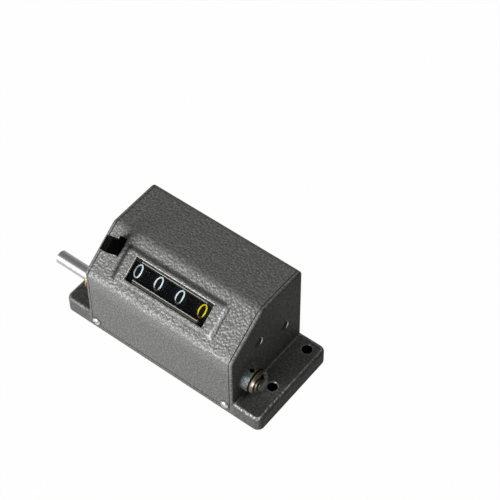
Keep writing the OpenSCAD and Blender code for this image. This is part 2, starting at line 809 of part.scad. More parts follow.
base_frame();
cover();
cover_screws();
window_pane();
window_rails();
wheel_axle();
axle_collar();
axle_spacer();
reset_shaft();
reset_spacers();
bush_left();
bush_right();
oil_eyelets();
key_guide();
return_spring();
drive_shaft();
drive_gear();
gear_pin();
drive_spacer();
thrust_washer();
retaining_ring();
number_wheel(0);  // number_wheel_hundreds
number_wheel(1);  // number_wheel_tens
number_wheel(2);  // number_wheel_units
number_wheel(3);  // number_wheel_tenths
heart_cam(0);  // heart_cam_hundreds
heart_cam(1);  // heart_cam_tens
heart_cam(2);  // heart_cam_units
heart_cam(3);  // heart_cam_tenths
carry_disc(1);  // carry_disc_tens
carry_disc(2);  // carry_disc_units
carry_disc(3);  // carry_disc_tenths
wheel_gear();
clutch_washer();
carry_pinion(0);  // carry_pinion_hundreds
carry_pinion(1);  // carry_pinion_tens
carry_pinion(2);  // carry_pinion_units
reset_rocker();
reset_hammers();
pinion_shaft();
reset_key();
key_stem();
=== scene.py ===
# Mechanical revolution counter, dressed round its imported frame.
# Lengths are millimetres until a mesh is made; u runs up the sloping face and n stands out of it.
import json
import math

import bmesh
import bpy
from mathutils import Matrix, Vector


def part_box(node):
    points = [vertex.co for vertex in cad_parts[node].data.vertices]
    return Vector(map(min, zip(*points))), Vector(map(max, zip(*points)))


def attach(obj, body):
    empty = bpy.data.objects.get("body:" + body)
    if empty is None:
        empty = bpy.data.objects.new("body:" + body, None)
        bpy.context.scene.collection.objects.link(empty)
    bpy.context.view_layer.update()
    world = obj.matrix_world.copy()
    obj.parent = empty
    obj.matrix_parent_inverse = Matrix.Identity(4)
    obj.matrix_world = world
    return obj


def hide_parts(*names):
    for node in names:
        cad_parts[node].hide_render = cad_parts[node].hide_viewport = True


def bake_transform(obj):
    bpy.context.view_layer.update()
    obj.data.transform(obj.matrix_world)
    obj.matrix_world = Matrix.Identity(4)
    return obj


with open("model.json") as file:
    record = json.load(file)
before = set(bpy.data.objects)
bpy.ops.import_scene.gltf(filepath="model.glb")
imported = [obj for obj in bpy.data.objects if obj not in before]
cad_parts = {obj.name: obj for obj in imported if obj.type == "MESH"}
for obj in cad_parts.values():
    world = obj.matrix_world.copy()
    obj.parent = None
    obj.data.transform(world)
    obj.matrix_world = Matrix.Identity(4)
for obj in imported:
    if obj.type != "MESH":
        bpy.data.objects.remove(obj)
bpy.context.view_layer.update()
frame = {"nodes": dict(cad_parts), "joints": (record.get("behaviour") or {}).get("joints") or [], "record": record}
scene = bpy.context.scene
mm = 0.001


# shared measures, read off the frame
def nodeBox(name):
    return [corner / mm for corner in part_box(name)]


jointPlace = {j["name"]: Vector(j["pos_m"]) / mm for j in frame["joints"] if "pos_m" in j}
coverLow, coverHigh = nodeBox("cover")
baseLow, baseHigh = nodeBox("base_frame")
shaftLine = jointPlace["drive_spin"]
axleLine = jointPlace["wheel_units_spin"]
resetLine = jointPlace["rocker_swing"]
frontY, backY, topZ = coverLow.y, coverHigh.y, coverHigh.z

caseShape = {  # the case's measures, which its pieces and its paint go by
    "frontTop": 40.8,  # height of the front face
    "slopeRun": 23.2,
    "sheetFolds": (5.6, 6.5, 2.8),  # front, top and back
    "cheekFolds": (3.2, 3.0, 2.8),
    "foldSteps": 12,
    "sheet": 1.0,
    "cheekOut": 45.0, "seamAt": 43.2,  # a cheek's outer face, and where cheek and cover meet
    "footTop": 9.4, "footCorner": 3.6,
    "bossRadius": 6.6, "bossEnd": 50.5, "oilX": 48.1,
    "holeX": 53.75, "holeY": 13.8, "holeRadius": 2.65,
    "screwX": 40.4, "screwZ": 5.7,
    "windowLow": (-24.16, 7.75), "windowHigh": (22.84, 20.2),  # x and u
}
slopeAngle = math.atan2(topZ - caseShape["frontTop"], caseShape["slopeRun"])
slopeUp = Vector((0, math.cos(slopeAngle), math.sin(slopeAngle)))
slopeOut = Vector((0, -math.sin(slopeAngle), math.cos(slopeAngle)))
slopeFoot = Vector((0, frontY, caseShape["frontTop"]))


def slopePoint(x, u, n):
    return Vector((x, 0, 0)) + slopeFoot + slopeUp * u + slopeOut * n


# node trees
def addNode(tree, kind, inputs=None, **settings):
    made = tree.nodes.new(kind)
    for key, value in settings.items():
        setattr(made, key, value)
    for key, value in (inputs or {}).items():
        if isinstance(value, bpy.types.NodeSocket):
            tree.links.new(value, made.inputs[key])
        else:
            made.inputs[key].default_value = value
    return made


def nodeOut(tree, kind, inputs=None, **settings):
    return addNode(tree, kind, inputs, **settings).outputs[0]


def doMath(tree, operation, a, b=0.0, clamp=False):
    return nodeOut(tree, "ShaderNodeMath", {0: a, 1: b}, operation=operation, use_clamp=clamp)


def product(tree, *values):
    total = values[0]
    for value in values[1:]:
        total = doMath(tree, "MULTIPLY", total, value)
    return total


def doVector(tree, operation, a, b=(0, 0, 0)):
    return nodeOut(tree, "ShaderNodeVectorMath", {0: a, 1: b}, operation=operation)


def lengthOf(tree, vector):
    return addNode(tree, "ShaderNodeVectorMath", {0: vector}, operation="LENGTH").outputs["Value"]


def scaled(tree, vector, factor):
    return nodeOut(tree, "ShaderNodeVectorMath", {0: vector, "Scale": factor}, operation="SCALE")


def partsOf(tree, vector):
    return addNode(tree, "ShaderNodeSeparateXYZ", {0: vector}).outputs


def joined(tree, x=0.0, y=0.0, z=0.0):
    return nodeOut(tree, "ShaderNodeCombineXYZ", {0: x, 1: y, 2: z})


def millimetres(tree, scale=(1, 1, 1)):
    place = addNode(tree, "ShaderNodeTexCoord").outputs["Object"]
    return nodeOut(tree, "ShaderNodeMapping", {"Vector": place, "Scale": [s / mm for s in scale]})


def noise(tree, vector, scale, detail=2.0):
    texture = addNode(tree, "ShaderNodeTexNoise", {"Vector": vector, "Scale": scale, "Detail": detail})
    return texture.outputs["Fac"]


def mixColour(tree, factor, a, b):
    made = addNode(tree, "ShaderNodeMix", data_type="RGBA")
    for socket, value in zip((made.inputs[0], made.inputs[6], made.inputs[7]), (factor, a, b)):
        if isinstance(value, bpy.types.NodeSocket):
            tree.links.new(value, socket)
        else:
            socket.default_value = value if socket is made.inputs[0] else (*value, 1)
    return made.outputs[2]


def spread(tree, value, low, high, fromLow=0.0, fromHigh=1.0):
    return nodeOut(tree, "ShaderNodeMapRange", {0: value, 1: fromLow, 2: fromHigh, 3: low, 4: high})


def rising(tree, value, start, end):
    return spread(tree, value, 0.0, 1.0, start, end)


def falling(tree, value, start, end):
    return spread(tree, value, 1.0, 0.0, start, end)


def within(tree, gap, edge, soft):
    return falling(tree, gap, edge - soft, edge + soft)


def between(tree, value, low, high, soft):
    return product(tree, rising(tree, value, low - soft, low + soft), within(tree, value, high, soft))


def awayFrom(tree, place, centre, keep):
    return lengthOf(tree, doVector(tree, "MULTIPLY", doVector(tree, "SUBTRACT", place, centre), keep))


def upSlope(tree, place):
    offset = doVector(tree, "SUBTRACT", place, slopeFoot)
    along = addNode(tree, "ShaderNodeVectorMath", {0: offset, 1: slopeUp}, operation="DOT_PRODUCT")
    return along.outputs["Value"]


def insideFoot(tree, out, y):  # how far in from the foot plate's rounded outline
    corner, middle = caseShape["footCorner"], (frontY + backY) / 2
    fromMiddle = doMath(tree, "ABSOLUTE", doMath(tree, "SUBTRACT", y, middle))
    pastX = doMath(tree, "SUBTRACT", out, baseHigh.x - corner)
    pastY = doMath(tree, "SUBTRACT", fromMiddle, backY - middle - corner)
    past = joined(tree, doMath(tree, "MAXIMUM", pastX, 0.0), doMath(tree, "MAXIMUM", pastY, 0.0))
    short = doMath(tree, "MINIMUM", doMath(tree, "MAXIMUM", pastX, pastY), 0.0)
    return doMath(tree, "SUBTRACT", doMath(tree, "SUBTRACT", corner, lengthOf(tree, past)), short)


# finishes
def startMaterial(name, metallic=0.0, roughness=0.5, specular=0.5):
    material = bpy.data.materials.new(name)
    material.use_nodes = True
    shader = material.node_tree.nodes["Principled BSDF"]
    shader.inputs["Metallic"].default_value = metallic
    shader.inputs["Roughness"].default_value = roughness
    shader.inputs["Specular IOR Level"].default_value = specular
    return material, material.node_tree, shader


def addBump(tree, shader, height, strength, depth):
    bump = nodeOut(tree, "ShaderNodeBump", {"Height": height, "Strength": strength, "Distance": depth * mm})
    tree.links.new(bump, shader.inputs["Normal"])


def overlay(tree, shader, mask, colour, metallic, roughness):
    under = shader.inputs["Base Color"]
    tree.links.new(mixColour(tree, mask, under.links[0].from_socket, colour), under)
    for key, over in (("Metallic", metallic), ("Roughness", roughness)):
        under = shader.inputs[key]
        layers = {0: mask, 2: under.links[0].from_socket, 3: over}
        tree.links.new(nodeOut(tree, "ShaderNodeMix", layers, data_type="FLOAT"), under)


def tint(tree, shader, gains, plain=1.0, least=0.26):
    total = plain
    for mask, gain in gains:
        total = doMath(tree, "ADD", total, doMath(tree, "MULTIPLY", mask, gain))
    under = shader.inputs["Base Color"]
    factor = doMath(tree, "MAXIMUM", total, least)
    tree.links.new(scaled(tree, under.links[0].from_socket, factor), under)


hammerSettings = {
    "dark": (0.110, 0.110, 0.107),
    "light": (0.214, 0.214, 0.209),
    "specular": 0.01,
    "roughness": (0.40, 0.50),
    "cell": 0.88, "smooth": 0.8,  # lumps to the millimetre, and how far they run together
    "depth": 0.40,
    "driftScale": 0.6, "drift": 0.8,  # how the lumps wander off a plain pattern
    "patchScale": 0.98, "patchFrom": (0.34, 0.70), "patchPower": 1.4,
    "flakeAndSheen": (0.03, 0.3),  # flake metallic, least and most
    # painted sheen: gain of the colour where the flake is
    "sheenGain": 1.34,
    "flakeFrom": (30.0, 37.0), "flakeOut": (44.2, 44.9),  # flake and painted sheen from this height up, and in from the cheeks' faces
}


def hammertone(name, s):
    material, tree, shader = startMaterial(name, specular=s["specular"])
    place = millimetres(tree)
    parts = partsOf(tree, place)
    drift = addNode(tree, "ShaderNodeTexNoise", {"Vector": place, "Scale": s["driftScale"], "Detail": 1.0})
    warped = doVector(tree, "ADD", place, scaled(tree, drift.outputs["Color"], s["drift"]))
    cells = {"Vector": warped, "Scale": s["cell"], "Smoothness": s["smooth"]}
    lumps = addNode(tree, "ShaderNodeTexVoronoi", cells, feature="SMOOTH_F1").outputs["Distance"]
    patches = noise(tree, place, s["patchScale"])
    shade = doMath(tree, "POWER", rising(tree, patches, *s["patchFrom"]), s["patchPower"])
    flakeAndSheen = product(tree, rising(tree, parts["Z"], *s["flakeFrom"]),
                    falling(tree, doMath(tree, "ABSOLUTE", parts["X"]), *s["flakeOut"]))
    colour = mixColour(tree, shade, s["dark"], s["light"])
    # painted sheen: the colour is brighter on the upper faces, away from the cheeks
    colour = scaled(tree, colour, spread(tree, flakeAndSheen, 1.0, s["sheenGain"]))
    tree.links.new(colour, shader.inputs["Base Color"])
    tree.links.new(spread(tree, flakeAndSheen, *s["flakeAndSheen"]), shader.inputs["Metallic"])
    tree.links.new(spread(tree, patches, *s["roughness"]), shader.inputs["Roughness"])
    addBump(tree, shader, product(tree, lumps, lumps, -1.0), 1.0, s["depth"])
    return material, tree, shader


castSettings = {
    "plain": 0.93, "rim": 0.15, "footTop": -0.48, "footFaceShade": -0.17, "corner": 1.0,  # gains of the paint: painted highlight on the cheek rims and the cheek-to-foot corner, painted shade on the foot tops and front faces
    "footTopShadeFade": (-26.0, 0.0), "evenBump": 0.4,
    "beadGlint": 2.3, "beadGap": (0.95, 1.75), "beadFrom": (0.40, 0.58),  # painted highlight: bright dots along the foot's edge
    "leastBead": 0.15, "leftBead": 0.3, "frontBead": 1.35, "frontShift": 0.75,
    "boss": (0.125, 0.142, 0.148), "bossScuffs": (0.5, 1.7), "bossFinish": (0.4, 0.52),
    "scuffStretch": (0.5, 1.6, 1.6), "scuffScale": 0.8, "scuffFrom": (0.35, 0.65),
    # painted shade on the boss's lower part: colour, share, and heights about the shaft over which it fades out
    # upwards
    "oil": (0.02, 0.02, 0.019), "shadeBelowShare": 0.85, "shadeBelowFrom": (-3.0, 4.0),
    "bossEnd": ((0.008, 0.008, 0.008), 0.0, 0.6),  # painted shadow ring at the boss's end, where the bush meets it: colour, metallic, roughness
    # painted highlight on the far side of the axle recess mouths
    "recessMouthGlint": ((0.9, 0.9, 0.86), 0.9, 0.3), "mouthGap": (2.62, 3.0),
    "holeRim": ((0.27, 0.30, 0.315), 0.2, 0.4), "rimWearScale": 0.7, "rimWear": (0.5, 1.0, 0.42, 0.55),
    # painted highlights on the far side of the foot holes' rims
    "rimGlint": ((0.85, 0.85, 0.82), 0.3, 0.35), "spotAt": (-0.4, 2.75), "spotSize": 0.45,
    "spotShape": (0.7, 1.6, 0),
    # painted shade inside the foot holes
    "holeWallShade": ((0.006, 0.006, 0.006), 0.0, 0.7),
}


def castPaint(hammer, s):
    material, tree, shader = hammertone("castPaint", hammer)
    cheek, top, holeRadius = (caseShape[k] for k in ("cheekOut", "footTop", "holeRadius"))
    place = millimetres(tree)
    parts = partsOf(tree, place)
    x, y, z = parts["X"], parts["Y"], parts["Z"]
    out = doMath(tree, "ABSOLUTE", x)

    # paint, with painted highlight along the cheek rims, the foot's edge and the cheek-to-foot corner, and painted
    # shade on the foot tops and front faces; each mask ends a few tenths off its edge
    # painted highlight along the cheek rims
    rim = product(tree, between(tree, out, caseShape["seamAt"], cheek - 0.3, 0.15),
                  rising(tree, z, top + 0.1, top + 1.1))
    # painted highlight: bright dots along the foot plate's top edge
    beadGlints = spread(tree, noise(tree, place, 1.0, 1.0), s["leastBead"], 1.0, *s["beadFrom"])
    toFront = falling(tree, y, frontY + 0.8, frontY + 4.0)
    shift = doMath(tree, "MULTIPLY", toFront, s["frontShift"])
    edgeGap = doMath(tree, "ADD", insideFoot(tree, out, y), shift)
    beadGlint = product(tree, between(tree, edgeGap, *s["beadGap"], 0.2), beadGlints,
                   spread(tree, toFront, 1.0, s["frontBead"]), between(tree, z, top - 1.4, top + 0.3, 0.2),
                   rising(tree, out, cheek, cheek + 1.0), spread(tree, x, s["leftBead"], 1.0, -1.0, 1.0))
    # painted shade on the foot tops, strongest at the front
    footTop = product(tree, between(tree, z, top - 0.3, top + 0.3, 0.15),
                      rising(tree, out, cheek + 0.6, cheek + 1.2), falling(tree, y, *s["footTopShadeFade"]))
    # painted shade on the feet's front faces
    footFaceShade = product(tree, falling(tree, y, frontY + 0.2, frontY + 0.5),
                       rising(tree, out, cheek + 0.2, cheek + 1.0))
    # painted highlight along the corner between cheek and foot
    corner = product(tree, between(tree, out, cheek + 0.3, cheek + 1.1, 0.2),
                     between(tree, z, top - 0.05, top + 0.8, 0.2))
    gains = [(rim, s["rim"]), (beadGlint, s["beadGlint"]), (footTop, s["footTop"]), (footFaceShade, s["footFaceShade"])]
    tint(tree, shader, [*gains, (corner, s["corner"])], s["plain"])
    even = doMath(tree, "MAXIMUM", rim, footTop)  # the lumps lie flatter there
    tree.links.new(spread(tree, even, 1.0, s["evenBump"]), tree.nodes["Bump"].inputs["Strength"])

    # bare boss, with painted shade on its lower part
    fromShaft = awayFrom(tree, place, shaftLine, (0, 1, 1))
    boss = product(tree, within(tree, fromShaft, caseShape["bossRadius"] + 0.3, 0.2),
                   rising(tree, out, cheek + 0.2, cheek + 1.0))
    scuffs = noise(tree, millimetres(tree, s["scuffStretch"]), s["scuffScale"], 3.0)
    scuffs = rising(tree, scuffs, *s["scuffFrom"])
    scuffed = mixColour(tree, scuffs, *([c * gain for c in s["boss"]] for gain in s["bossScuffs"]))
    # painted shade: the boss darker below the shaft
    paintedShade = spread(tree, z, s["shadeBelowShare"], 0.0, *(shaftLine.z + rise for rise in s["shadeBelowFrom"]))
    overlay(tree, shader, boss, mixColour(tree, paintedShade, scuffed, s["oil"]), *s["bossFinish"])
    # painted shadow: a black ring at the boss's end, where the bush meets it
    bossEnd = rising(tree, out, caseShape["bossEnd"] - 0.65, caseShape["bossEnd"] - 0.55)
    overlay(tree, shader, product(tree, boss, bossEnd), *s["bossEnd"])

    # mouths of the axle recesses and of the foot holes: a painted highlight on each recess's far side, worn hole
    # rims, painted highlights on the holes' far rims, and painted shade inside the holes
    for line in (axleLine, resetLine):
        mouth = product(tree, between(tree, awayFrom(tree, place, line, (0, 1, 1)), *s["mouthGap"], 0.1),
                        rising(tree, y, line.y + 0.9, line.y + 1.9),
                        rising(tree, out, cheek - 0.6, cheek - 0.4))
        overlay(tree, shader, mouth, *s["recessMouthGlint"])
    folded = joined(tree, out, doMath(tree, "ABSOLUTE", y), z)
    fromHole = awayFrom(tree, folded, (caseShape["holeX"], caseShape["holeY"], 0), (1, 1, 0))
    holeRim = product(tree, within(tree, fromHole, holeRadius + 0.45, 0.25),
                      rising(tree, z, top - 0.7, top - 0.4),
                      spread(tree, noise(tree, place, s["rimWearScale"]), *s["rimWear"]))
    overlay(tree, shader, holeRim, *s["holeRim"])
    # painted highlights on the far side of each foot hole's rim
    for end in (-1, 1):
        spotPlace = (caseShape["holeX"] + s["spotAt"][0], caseShape["holeY"] + end * s["spotAt"][1], 0)
        fromSpot = awayFrom(tree, folded, spotPlace, s["spotShape"])
        glint = product(tree, within(tree, fromSpot, s["spotSize"], 0.15),
                       rising(tree, doMath(tree, "MULTIPLY", y, end), 0.0, 0.1),
                       rising(tree, z, top - 0.5, top - 0.3))
        overlay(tree, shader, glint, *s["rimGlint"])
    # painted shade: the foot holes' walls black
    holeWallShade = product(tree, within(tree, fromHole, holeRadius + 0.1, 0.05),
                       falling(tree, z, top - 0.9, top - 0.6))
    overlay(tree, shader, holeWallShade, *s["holeWallShade"])
    return material


coverSettings = {  # painted highlight and painted shade in bands along the pad's sides and the folds, and painted shade round the screws: from, to, softness, gain
    "left": (-31.6, -29.0, 0.75, -0.70), "field": (-28.0, 26.0, 1.0, -0.06),
    "rightEase": (24.0, 28.6, 1.5, 0.12), "right": (28.0, 29.7, 0.4, 1.2),
    "rightFoot": (29.95, 30.5, 0.25, -0.5),
    "lowOuter": (3.3, 4.0, 0.4, 0.14), "lowFoot": (4.4, 5.1, 0.3, -0.52), "low": (5.6, 6.3, 0.4, 0.10),
    "upper": (21.3, 24.0, 0.3, -0.42),
    "fold": (-1.0, 0.5, 0.5, 0.17), "foldEase": (1.1, 2.6, 0.5, -0.11), "crest": (27.0, 30.8, 0.8, 0.19),
    "screwRingShade": (2.2, 2.75, 0.12, -0.6),
    "padHigh": (4.9, 23.2, 0.5), "padWide": (-30.6, 29.6, 0.5), "frontFrom": (36.0, 37.0),
    "cutEdgeGlint": ((0.58, 0.58, 0.56), 0.2, 0.4),  # painted highlight on the window's left and upper cut edges: colour, metallic, roughness
}


def coverPaint(hammer, s):
    material, tree, shader = hammertone("coverPaint", hammer)
    place = millimetres(tree)
    parts = partsOf(tree, place)
    x, u, z = parts["X"], upSlope(tree, place), parts["Z"]
    slope = rising(tree, z, caseShape["frontTop"] + 0.1, caseShape["frontTop"] + 0.4)
    padHigh = product(tree, between(tree, u, *s["padHigh"]), slope)
    padWide = product(tree, between(tree, x, *s["padWide"]), slope)
    fromScrew = awayFrom(tree, doVector(tree, "ABSOLUTE", place),
                         (caseShape["screwX"], 0, caseShape["screwZ"]), (1, 0, 1))
    # painted highlight and painted shade: bands along the pad's sides and the folds, and rings round the screws
    groups = [
        (("left", "field", "rightEase", "right", "rightFoot"), x, padHigh),
        (("lowOuter", "lowFoot", "low", "upper"), u, padWide),
        (("fold", "foldEase"), u, rising(tree, z, *s["frontFrom"])),
        (("crest",), u, slope),
        (("screwRingShade",), fromScrew, 1.0),
    ]
    gains = []
    for names, along, across in groups:
        for name in names:
            *band, gain = s[name]
            gains.append((product(tree, between(tree, along, *band), across), gain))
    tint(tree, shader, gains)
    # painted highlight along the window's left and upper cut edges
    (left, low), (right, high) = caseShape["windowLow"], caseShape["windowHigh"]
    leftCut = product(tree, between(tree, x, left - 0.29, left + 0.06, 0.04),
                      between(tree, u, low - 0.05, high + 0.15, 0.1))
    highCut = product(tree, between(tree, u, high - 0.05, high + 0.3, 0.04),
                      between(tree, x, left - 0.14, right + 0.16, 0.1))
    cutGlint = doMath(tree, "MAXIMUM", leftCut, highCut)
    overlay(tree, shader, product(tree, cutGlint, slope), *s["cutEdgeGlint"])
    return material


metalSettings = {
    "oilMouth": 1.42, "oilHoleShade": ((0.004, 0.004, 0.004), 0.0, 0.6),  # painted shade inside the oil holes
    "paler": 1.12, "patchScale": 0.4, "roughness": (0.75, 1.35), "metallic": (1.0, 0.98),
    "acrossStreak": 0.25, "bump": (0.02, 0.004),
    # painted shade: darker finishes from this x outwards on the right-hand ends, with a painted shadow ring in the
    # bronze where the bush meets the boss: colour, metallic, roughness
    "steel": [(40.0, (0.15, 0.147, 0.14), 0.0, 0.5), (46.0, (0.12, 0.113, 0.098), 0.85, 0.36),
              (52.58, (0.075, 0.066, 0.052), 0.7, 0.42)],
    "bronze": [(40.0, (0.012, 0.010, 0.008), 0.2, 0.6), (50.95, (0.20, 0.12, 0.04), 0.6, 0.5)],
    "brass": [(44.0, (0.30, 0.27, 0.07), 0.6, 0.5)],
    "ring": [(50.0, (0.05, 0.045, 0.038), 0.6, 0.4)],
}


def turnedMetal(name, colour, roughness, along, streak, paintedShade=""):
    s = metalSettings
    material, tree, shader = startMaterial(name, 1.0)
    stretch = [streak if axis == along else s["acrossStreak"] for axis in "xyz"]
    lines = noise(tree, millimetres(tree, stretch), 1.0, 3.0)
    place = millimetres(tree)
    patches = noise(tree, place, s["patchScale"], 3.0)
    paler = [min(1.0, c * s["paler"]) for c in colour]
    tree.links.new(mixColour(tree, patches, colour, paler), shader.inputs["Base Color"])
    tree.links.new(spread(tree, lines, *(roughness * r for r in s["roughness"])), shader.inputs["Roughness"])
    tree.links.new(spread(tree, patches, *s["metallic"]), shader.inputs["Metallic"])
    x = partsOf(tree, place)["X"]
    # painted shade: darker finishes towards the right-hand end
    for start, *finish in s.get(paintedShade, []):
        overlay(tree, shader, rising(tree, x, start - 0.02, start + 0.02), *finish)
    # painted shade: the inside of the oil holes black
    oilHole = (caseShape["oilX"], abs(shaftLine.y), 0)
    fromOil = awayFrom(tree, doVector(tree, "ABSOLUTE", place), oilHole, (1, 1, 0))
    overlay(tree, shader, within(tree, fromOil, s["oilMouth"], 0.05), *s["oilHoleShade"])
    addBump(tree, shader, lines, *s["bump"])
    return material


plasticSettings = {
    "patchScale": 0.5, "roughness": (-0.07, 0.09), "bump": (0.15, 0.02),
    "wheel": ((0.0048, 0.0048, 0.0042), (0.0065, 0.0065, 0.0056)),
    "key": ((0.0038, 0.0038, 0.0038), (0.005, 0.005, 0.005)),
    "pinion": ((0.66, 0.64, 0.57), (0.72, 0.70, 0.64)),
}


def mouldedPlastic(name, colours, roughness, grain, specular=0.5):
    s = plasticSettings
    material, tree, shader = startMaterial(name, specular=specular)
    place = millimetres(tree)
    patches = noise(tree, place, s["patchScale"], 3.0)
    specks = noise(tree, place, grain)
    tree.links.new(mixColour(tree, patches, *s[colours]), shader.inputs["Base Color"])
    tree.links.new(spread(tree, specks, *(roughness + r for r in s["roughness"])), shader.inputs["Roughness"])
    addBump(tree, shader, specks, *s["bump"])
    return material


railSettings = {
    "dark": (0.007, 0.007, 0.0065), "light": (0.42, 0.41, 0.37), "specular": 0.15,
    "wearStretch": (0.3, 2, 2), "worn": 0.85,
    "ends": (-20.4, 19.1),
    "glintStrips": [(8.0, 8.35, 0.4), (8.6, 8.8, 0.22), (9.12, 9.56, 1.0),  # painted highlights on the lands: u from, to, share
               (18.78, 19.2, 0.85), (19.6, 19.86, 0.3)],
}


def railFinish(s):
    material, tree, shader = startMaterial("railMetal", specular=s["specular"])
    place = millimetres(tree)
    u = upSlope(tree, place)
    along = between(tree, partsOf(tree, place)["X"], *s["ends"], 0.05)
    # painted highlights: pale strips on the dark rail, between its ends
    glintStrip = 0.0
    for low, high, share in s["glintStrips"]:
        glintStrip = doMath(tree, "MAXIMUM", glintStrip, product(tree, between(tree, u, low, high, 0.03), along, share))
    wear = noise(tree, millimetres(tree, s["wearStretch"]), 1.0, 3.0)
    pale = mixColour(tree, wear, [c * s["worn"] for c in s["light"]], s["light"])
    tree.links.new(mixColour(tree, glintStrip, s["dark"], pale), shader.inputs["Base Color"])
    return material


inkSettings = {  # thin and full print
    "white": ((0.72, 0.90, 0.93), (0.80, 0.97, 1.0)), "yellow": ((0.84, 0.65, 0.005), (0.90, 0.72, 0.006)),
    "specular": 0.1, "scale": 3.0, "coverFrom": (0.3, 0.6),
}


def printInk(name, colours, s):
    material, tree, shader = startMaterial(name, specular=s["specular"])
    cover = rising(tree, noise(tree, millimetres(tree), s["scale"], 3.0), *s["coverFrom"])
    tree.links.new(mixColour(tree, cover, *s[colours]), shader.inputs["Base Color"])
    return material


paneSettings = {"colour": (0.05, 0.055, 0.06), "roughness": 0.06, "hazeScale": 0.15, "haze": (0.03, 0.05)}


def clearPane(s):
    material, tree, shader = startMaterial("clearPane", roughness=s["roughness"])
    shader.inputs["Base Color"].default_value = (*s["colour"], 1)
    haze = noise(tree, millimetres(tree), s["hazeScale"])
    tree.links.new(spread(tree, haze, *s["haze"]), shader.inputs["Alpha"])
    return material


finishes = {
    "cast_paint": castPaint(hammerSettings, castSettings),
    "cover_paint": coverPaint(hammerSettings, coverSettings),
    "bright_steel": turnedMetal("brightSteel", (0.42, 0.42, 0.42), 0.39, "x", 1.0, "steel"),
    "screw_zinc": turnedMetal("screwZinc", (0.60, 0.60, 0.585), 0.32, "y", 3.0),
    "bronze": turnedMetal("bearingBronze", (0.40, 0.25, 0.085), 0.4, "x", 5.0, "bronze"),
    "gear_brass": turnedMetal("gearBrass", (0.60, 0.44, 0.17), 0.32, "x", 5.0, "brass"),
    "wheel_black": mouldedPlastic("wheelBlack", "wheel", 0.6, 3.0, 0.01),
    "key_black": mouldedPlastic("keyBlack", "key", 0.5, 4.0, 0.02),
    "pinion_white": mouldedPlastic("pinionAcetal", "pinion", 0.45, 2.0),
    "rail_metal": railFinish(railSettings),
    "clear_pane": clearPane(paneSettings),
    "inner_steel": turnedMetal("innerSteel", (0.42, 0.42, 0.43), 0.38, "x", 4.0, "ring"),
}
inkWhite = printInk("figureWhite", "white", inkSettings)
inkYellow = printInk("figureYellow", "yellow", inkSettings)
for subpart in frame["record"]["subparts"]:
    cadPiece = frame["nodes"][subpart["node"]]
    finish = finishes[subpart["material_slot"]]
    if cadPiece.material_slots:
        cadPiece.material_slots[0].material = finish
    else:
        cadPiece.data.materials.append(finish)
print("finishes:", len(finishes) + 2)


# mesh making
def addMesh(name, points, edges, faces):
    mesh = bpy.data.meshes.new(name)
    mesh.from_pydata([Vector(p) * mm for p in points], edges, faces)
    piece = bpy.data.objects.new(name, mesh)
    scene.collection.objects.link(piece)
    return piece


def makePiece(name, points, faces, material=None):
    piece = addMesh(name, points, [], faces)
    work = bmesh.new()
    work.from_mesh(piece.data)
    bmesh.ops.remove_doubles(work, verts=work.verts, dist=1e-7)
    bmesh.ops.recalc_face_normals(work, faces=work.faces)
    work.to_mesh(piece.data)
    work.free()
    if material:
        piece.data.materials.append(material)
    return piece


def loft(loops):
    count, last = len(loops[0]), len(loops) - 1
    points = [p for loop in loops for p in loop]
    faces = []
    for start in range(0, last * count, count):
        for i in range(count):
            j = (i + 1) % count
            faces.append([start + i, start + j, start + count + j, start + count + i])
    faces += [list(range(count)), list(range(last * count, len(points)))]
    return points, faces


def bakeMesh(piece):
    depsgraph = bpy.context.evaluated_depsgraph_get()
    mesh = bpy.data.meshes.new_from_object(piece.evaluated_get(depsgraph))
    old = piece.data
    piece.modifiers.clear()
    piece.data = mesh
    bpy.data.meshes.remove(old)
    mesh.name = piece.name
    return piece


def combine(piece, tools, operation):
    for tool in tools:
        modifier = piece.modifiers.new(tool.name, "BOOLEAN")
        modifier.object, modifier.operation, modifier.solver = tool, operation, "EXACT"
    bakeMesh(piece)
    for tool in tools:
        mesh = tool.data
        bpy.data.objects.remove(tool)
        bpy.data.meshes.remove(mesh)


def smoothShade(piece, angle=35):
    mesh = piece.data
    mesh.polygons.foreach_set("use_smooth", [True] * len(mesh.polygons))
    mesh.set_sharp_from_angle(angle=math.radians(angle))
    modifier = piece.modifiers.new("flats", "WEIGHTED_NORMAL")
    modifier.keep_sharp = True
    return bakeMesh(piece)


def boxPiece(name, low, high):
    points = [(x, y, z) for x in (low[0], high[0]) for y in (low[1], high[1]) for z in (low[2], high[2])]
    faces = [(0, 1, 3, 2), (4, 6, 7, 5), (0, 4, 5, 1), (2, 3, 7, 6), (0, 2, 6, 4), (1, 5, 7, 3)]
    return makePiece(name, points, faces)


def arcRun(radius, steps):
    angles = [math.pi / 2 * i / steps for i in range(steps + 1)]
    return [(radius * (1 - math.cos(a)), radius * (1 - math.sin(a))) for a in angles]


def rod(start, end, radius):
    return [(start, 0), (start, radius), (end, radius), (end, 0)]


def turned(name, profile, place, axis, way=1, steps=64):
    loops = []
    for along, radius in profile:
        loop = []
        for i in range(steps):
            a, b = radius * math.cos(2 * math.pi * i / steps), radius * math.sin(2 * math.pi * i / steps)
            offset = {"x": (way * along, a, b), "y": (a, way * along, b), "z": (a, b, way * along)}[axis]
            loop.append(Vector(place) + Vector(offset))
        loops.append(loop)
    return makePiece(name, *loft(loops))


def insetChain(corners, inset):
    moved = []
    for i, corner in enumerate(corners):
        first = max(i - 1, 0)
        runs = [(b - a).normalized() for a, b in zip(corners[first:], corners[first + 1:i + 2])]
        inward = sum((Vector((run.y, -run.x)) for run in runs), Vector((0, 0)))
        moved.append(corner + inward * (inset * len(runs) / inward.length_squared))
    return moved


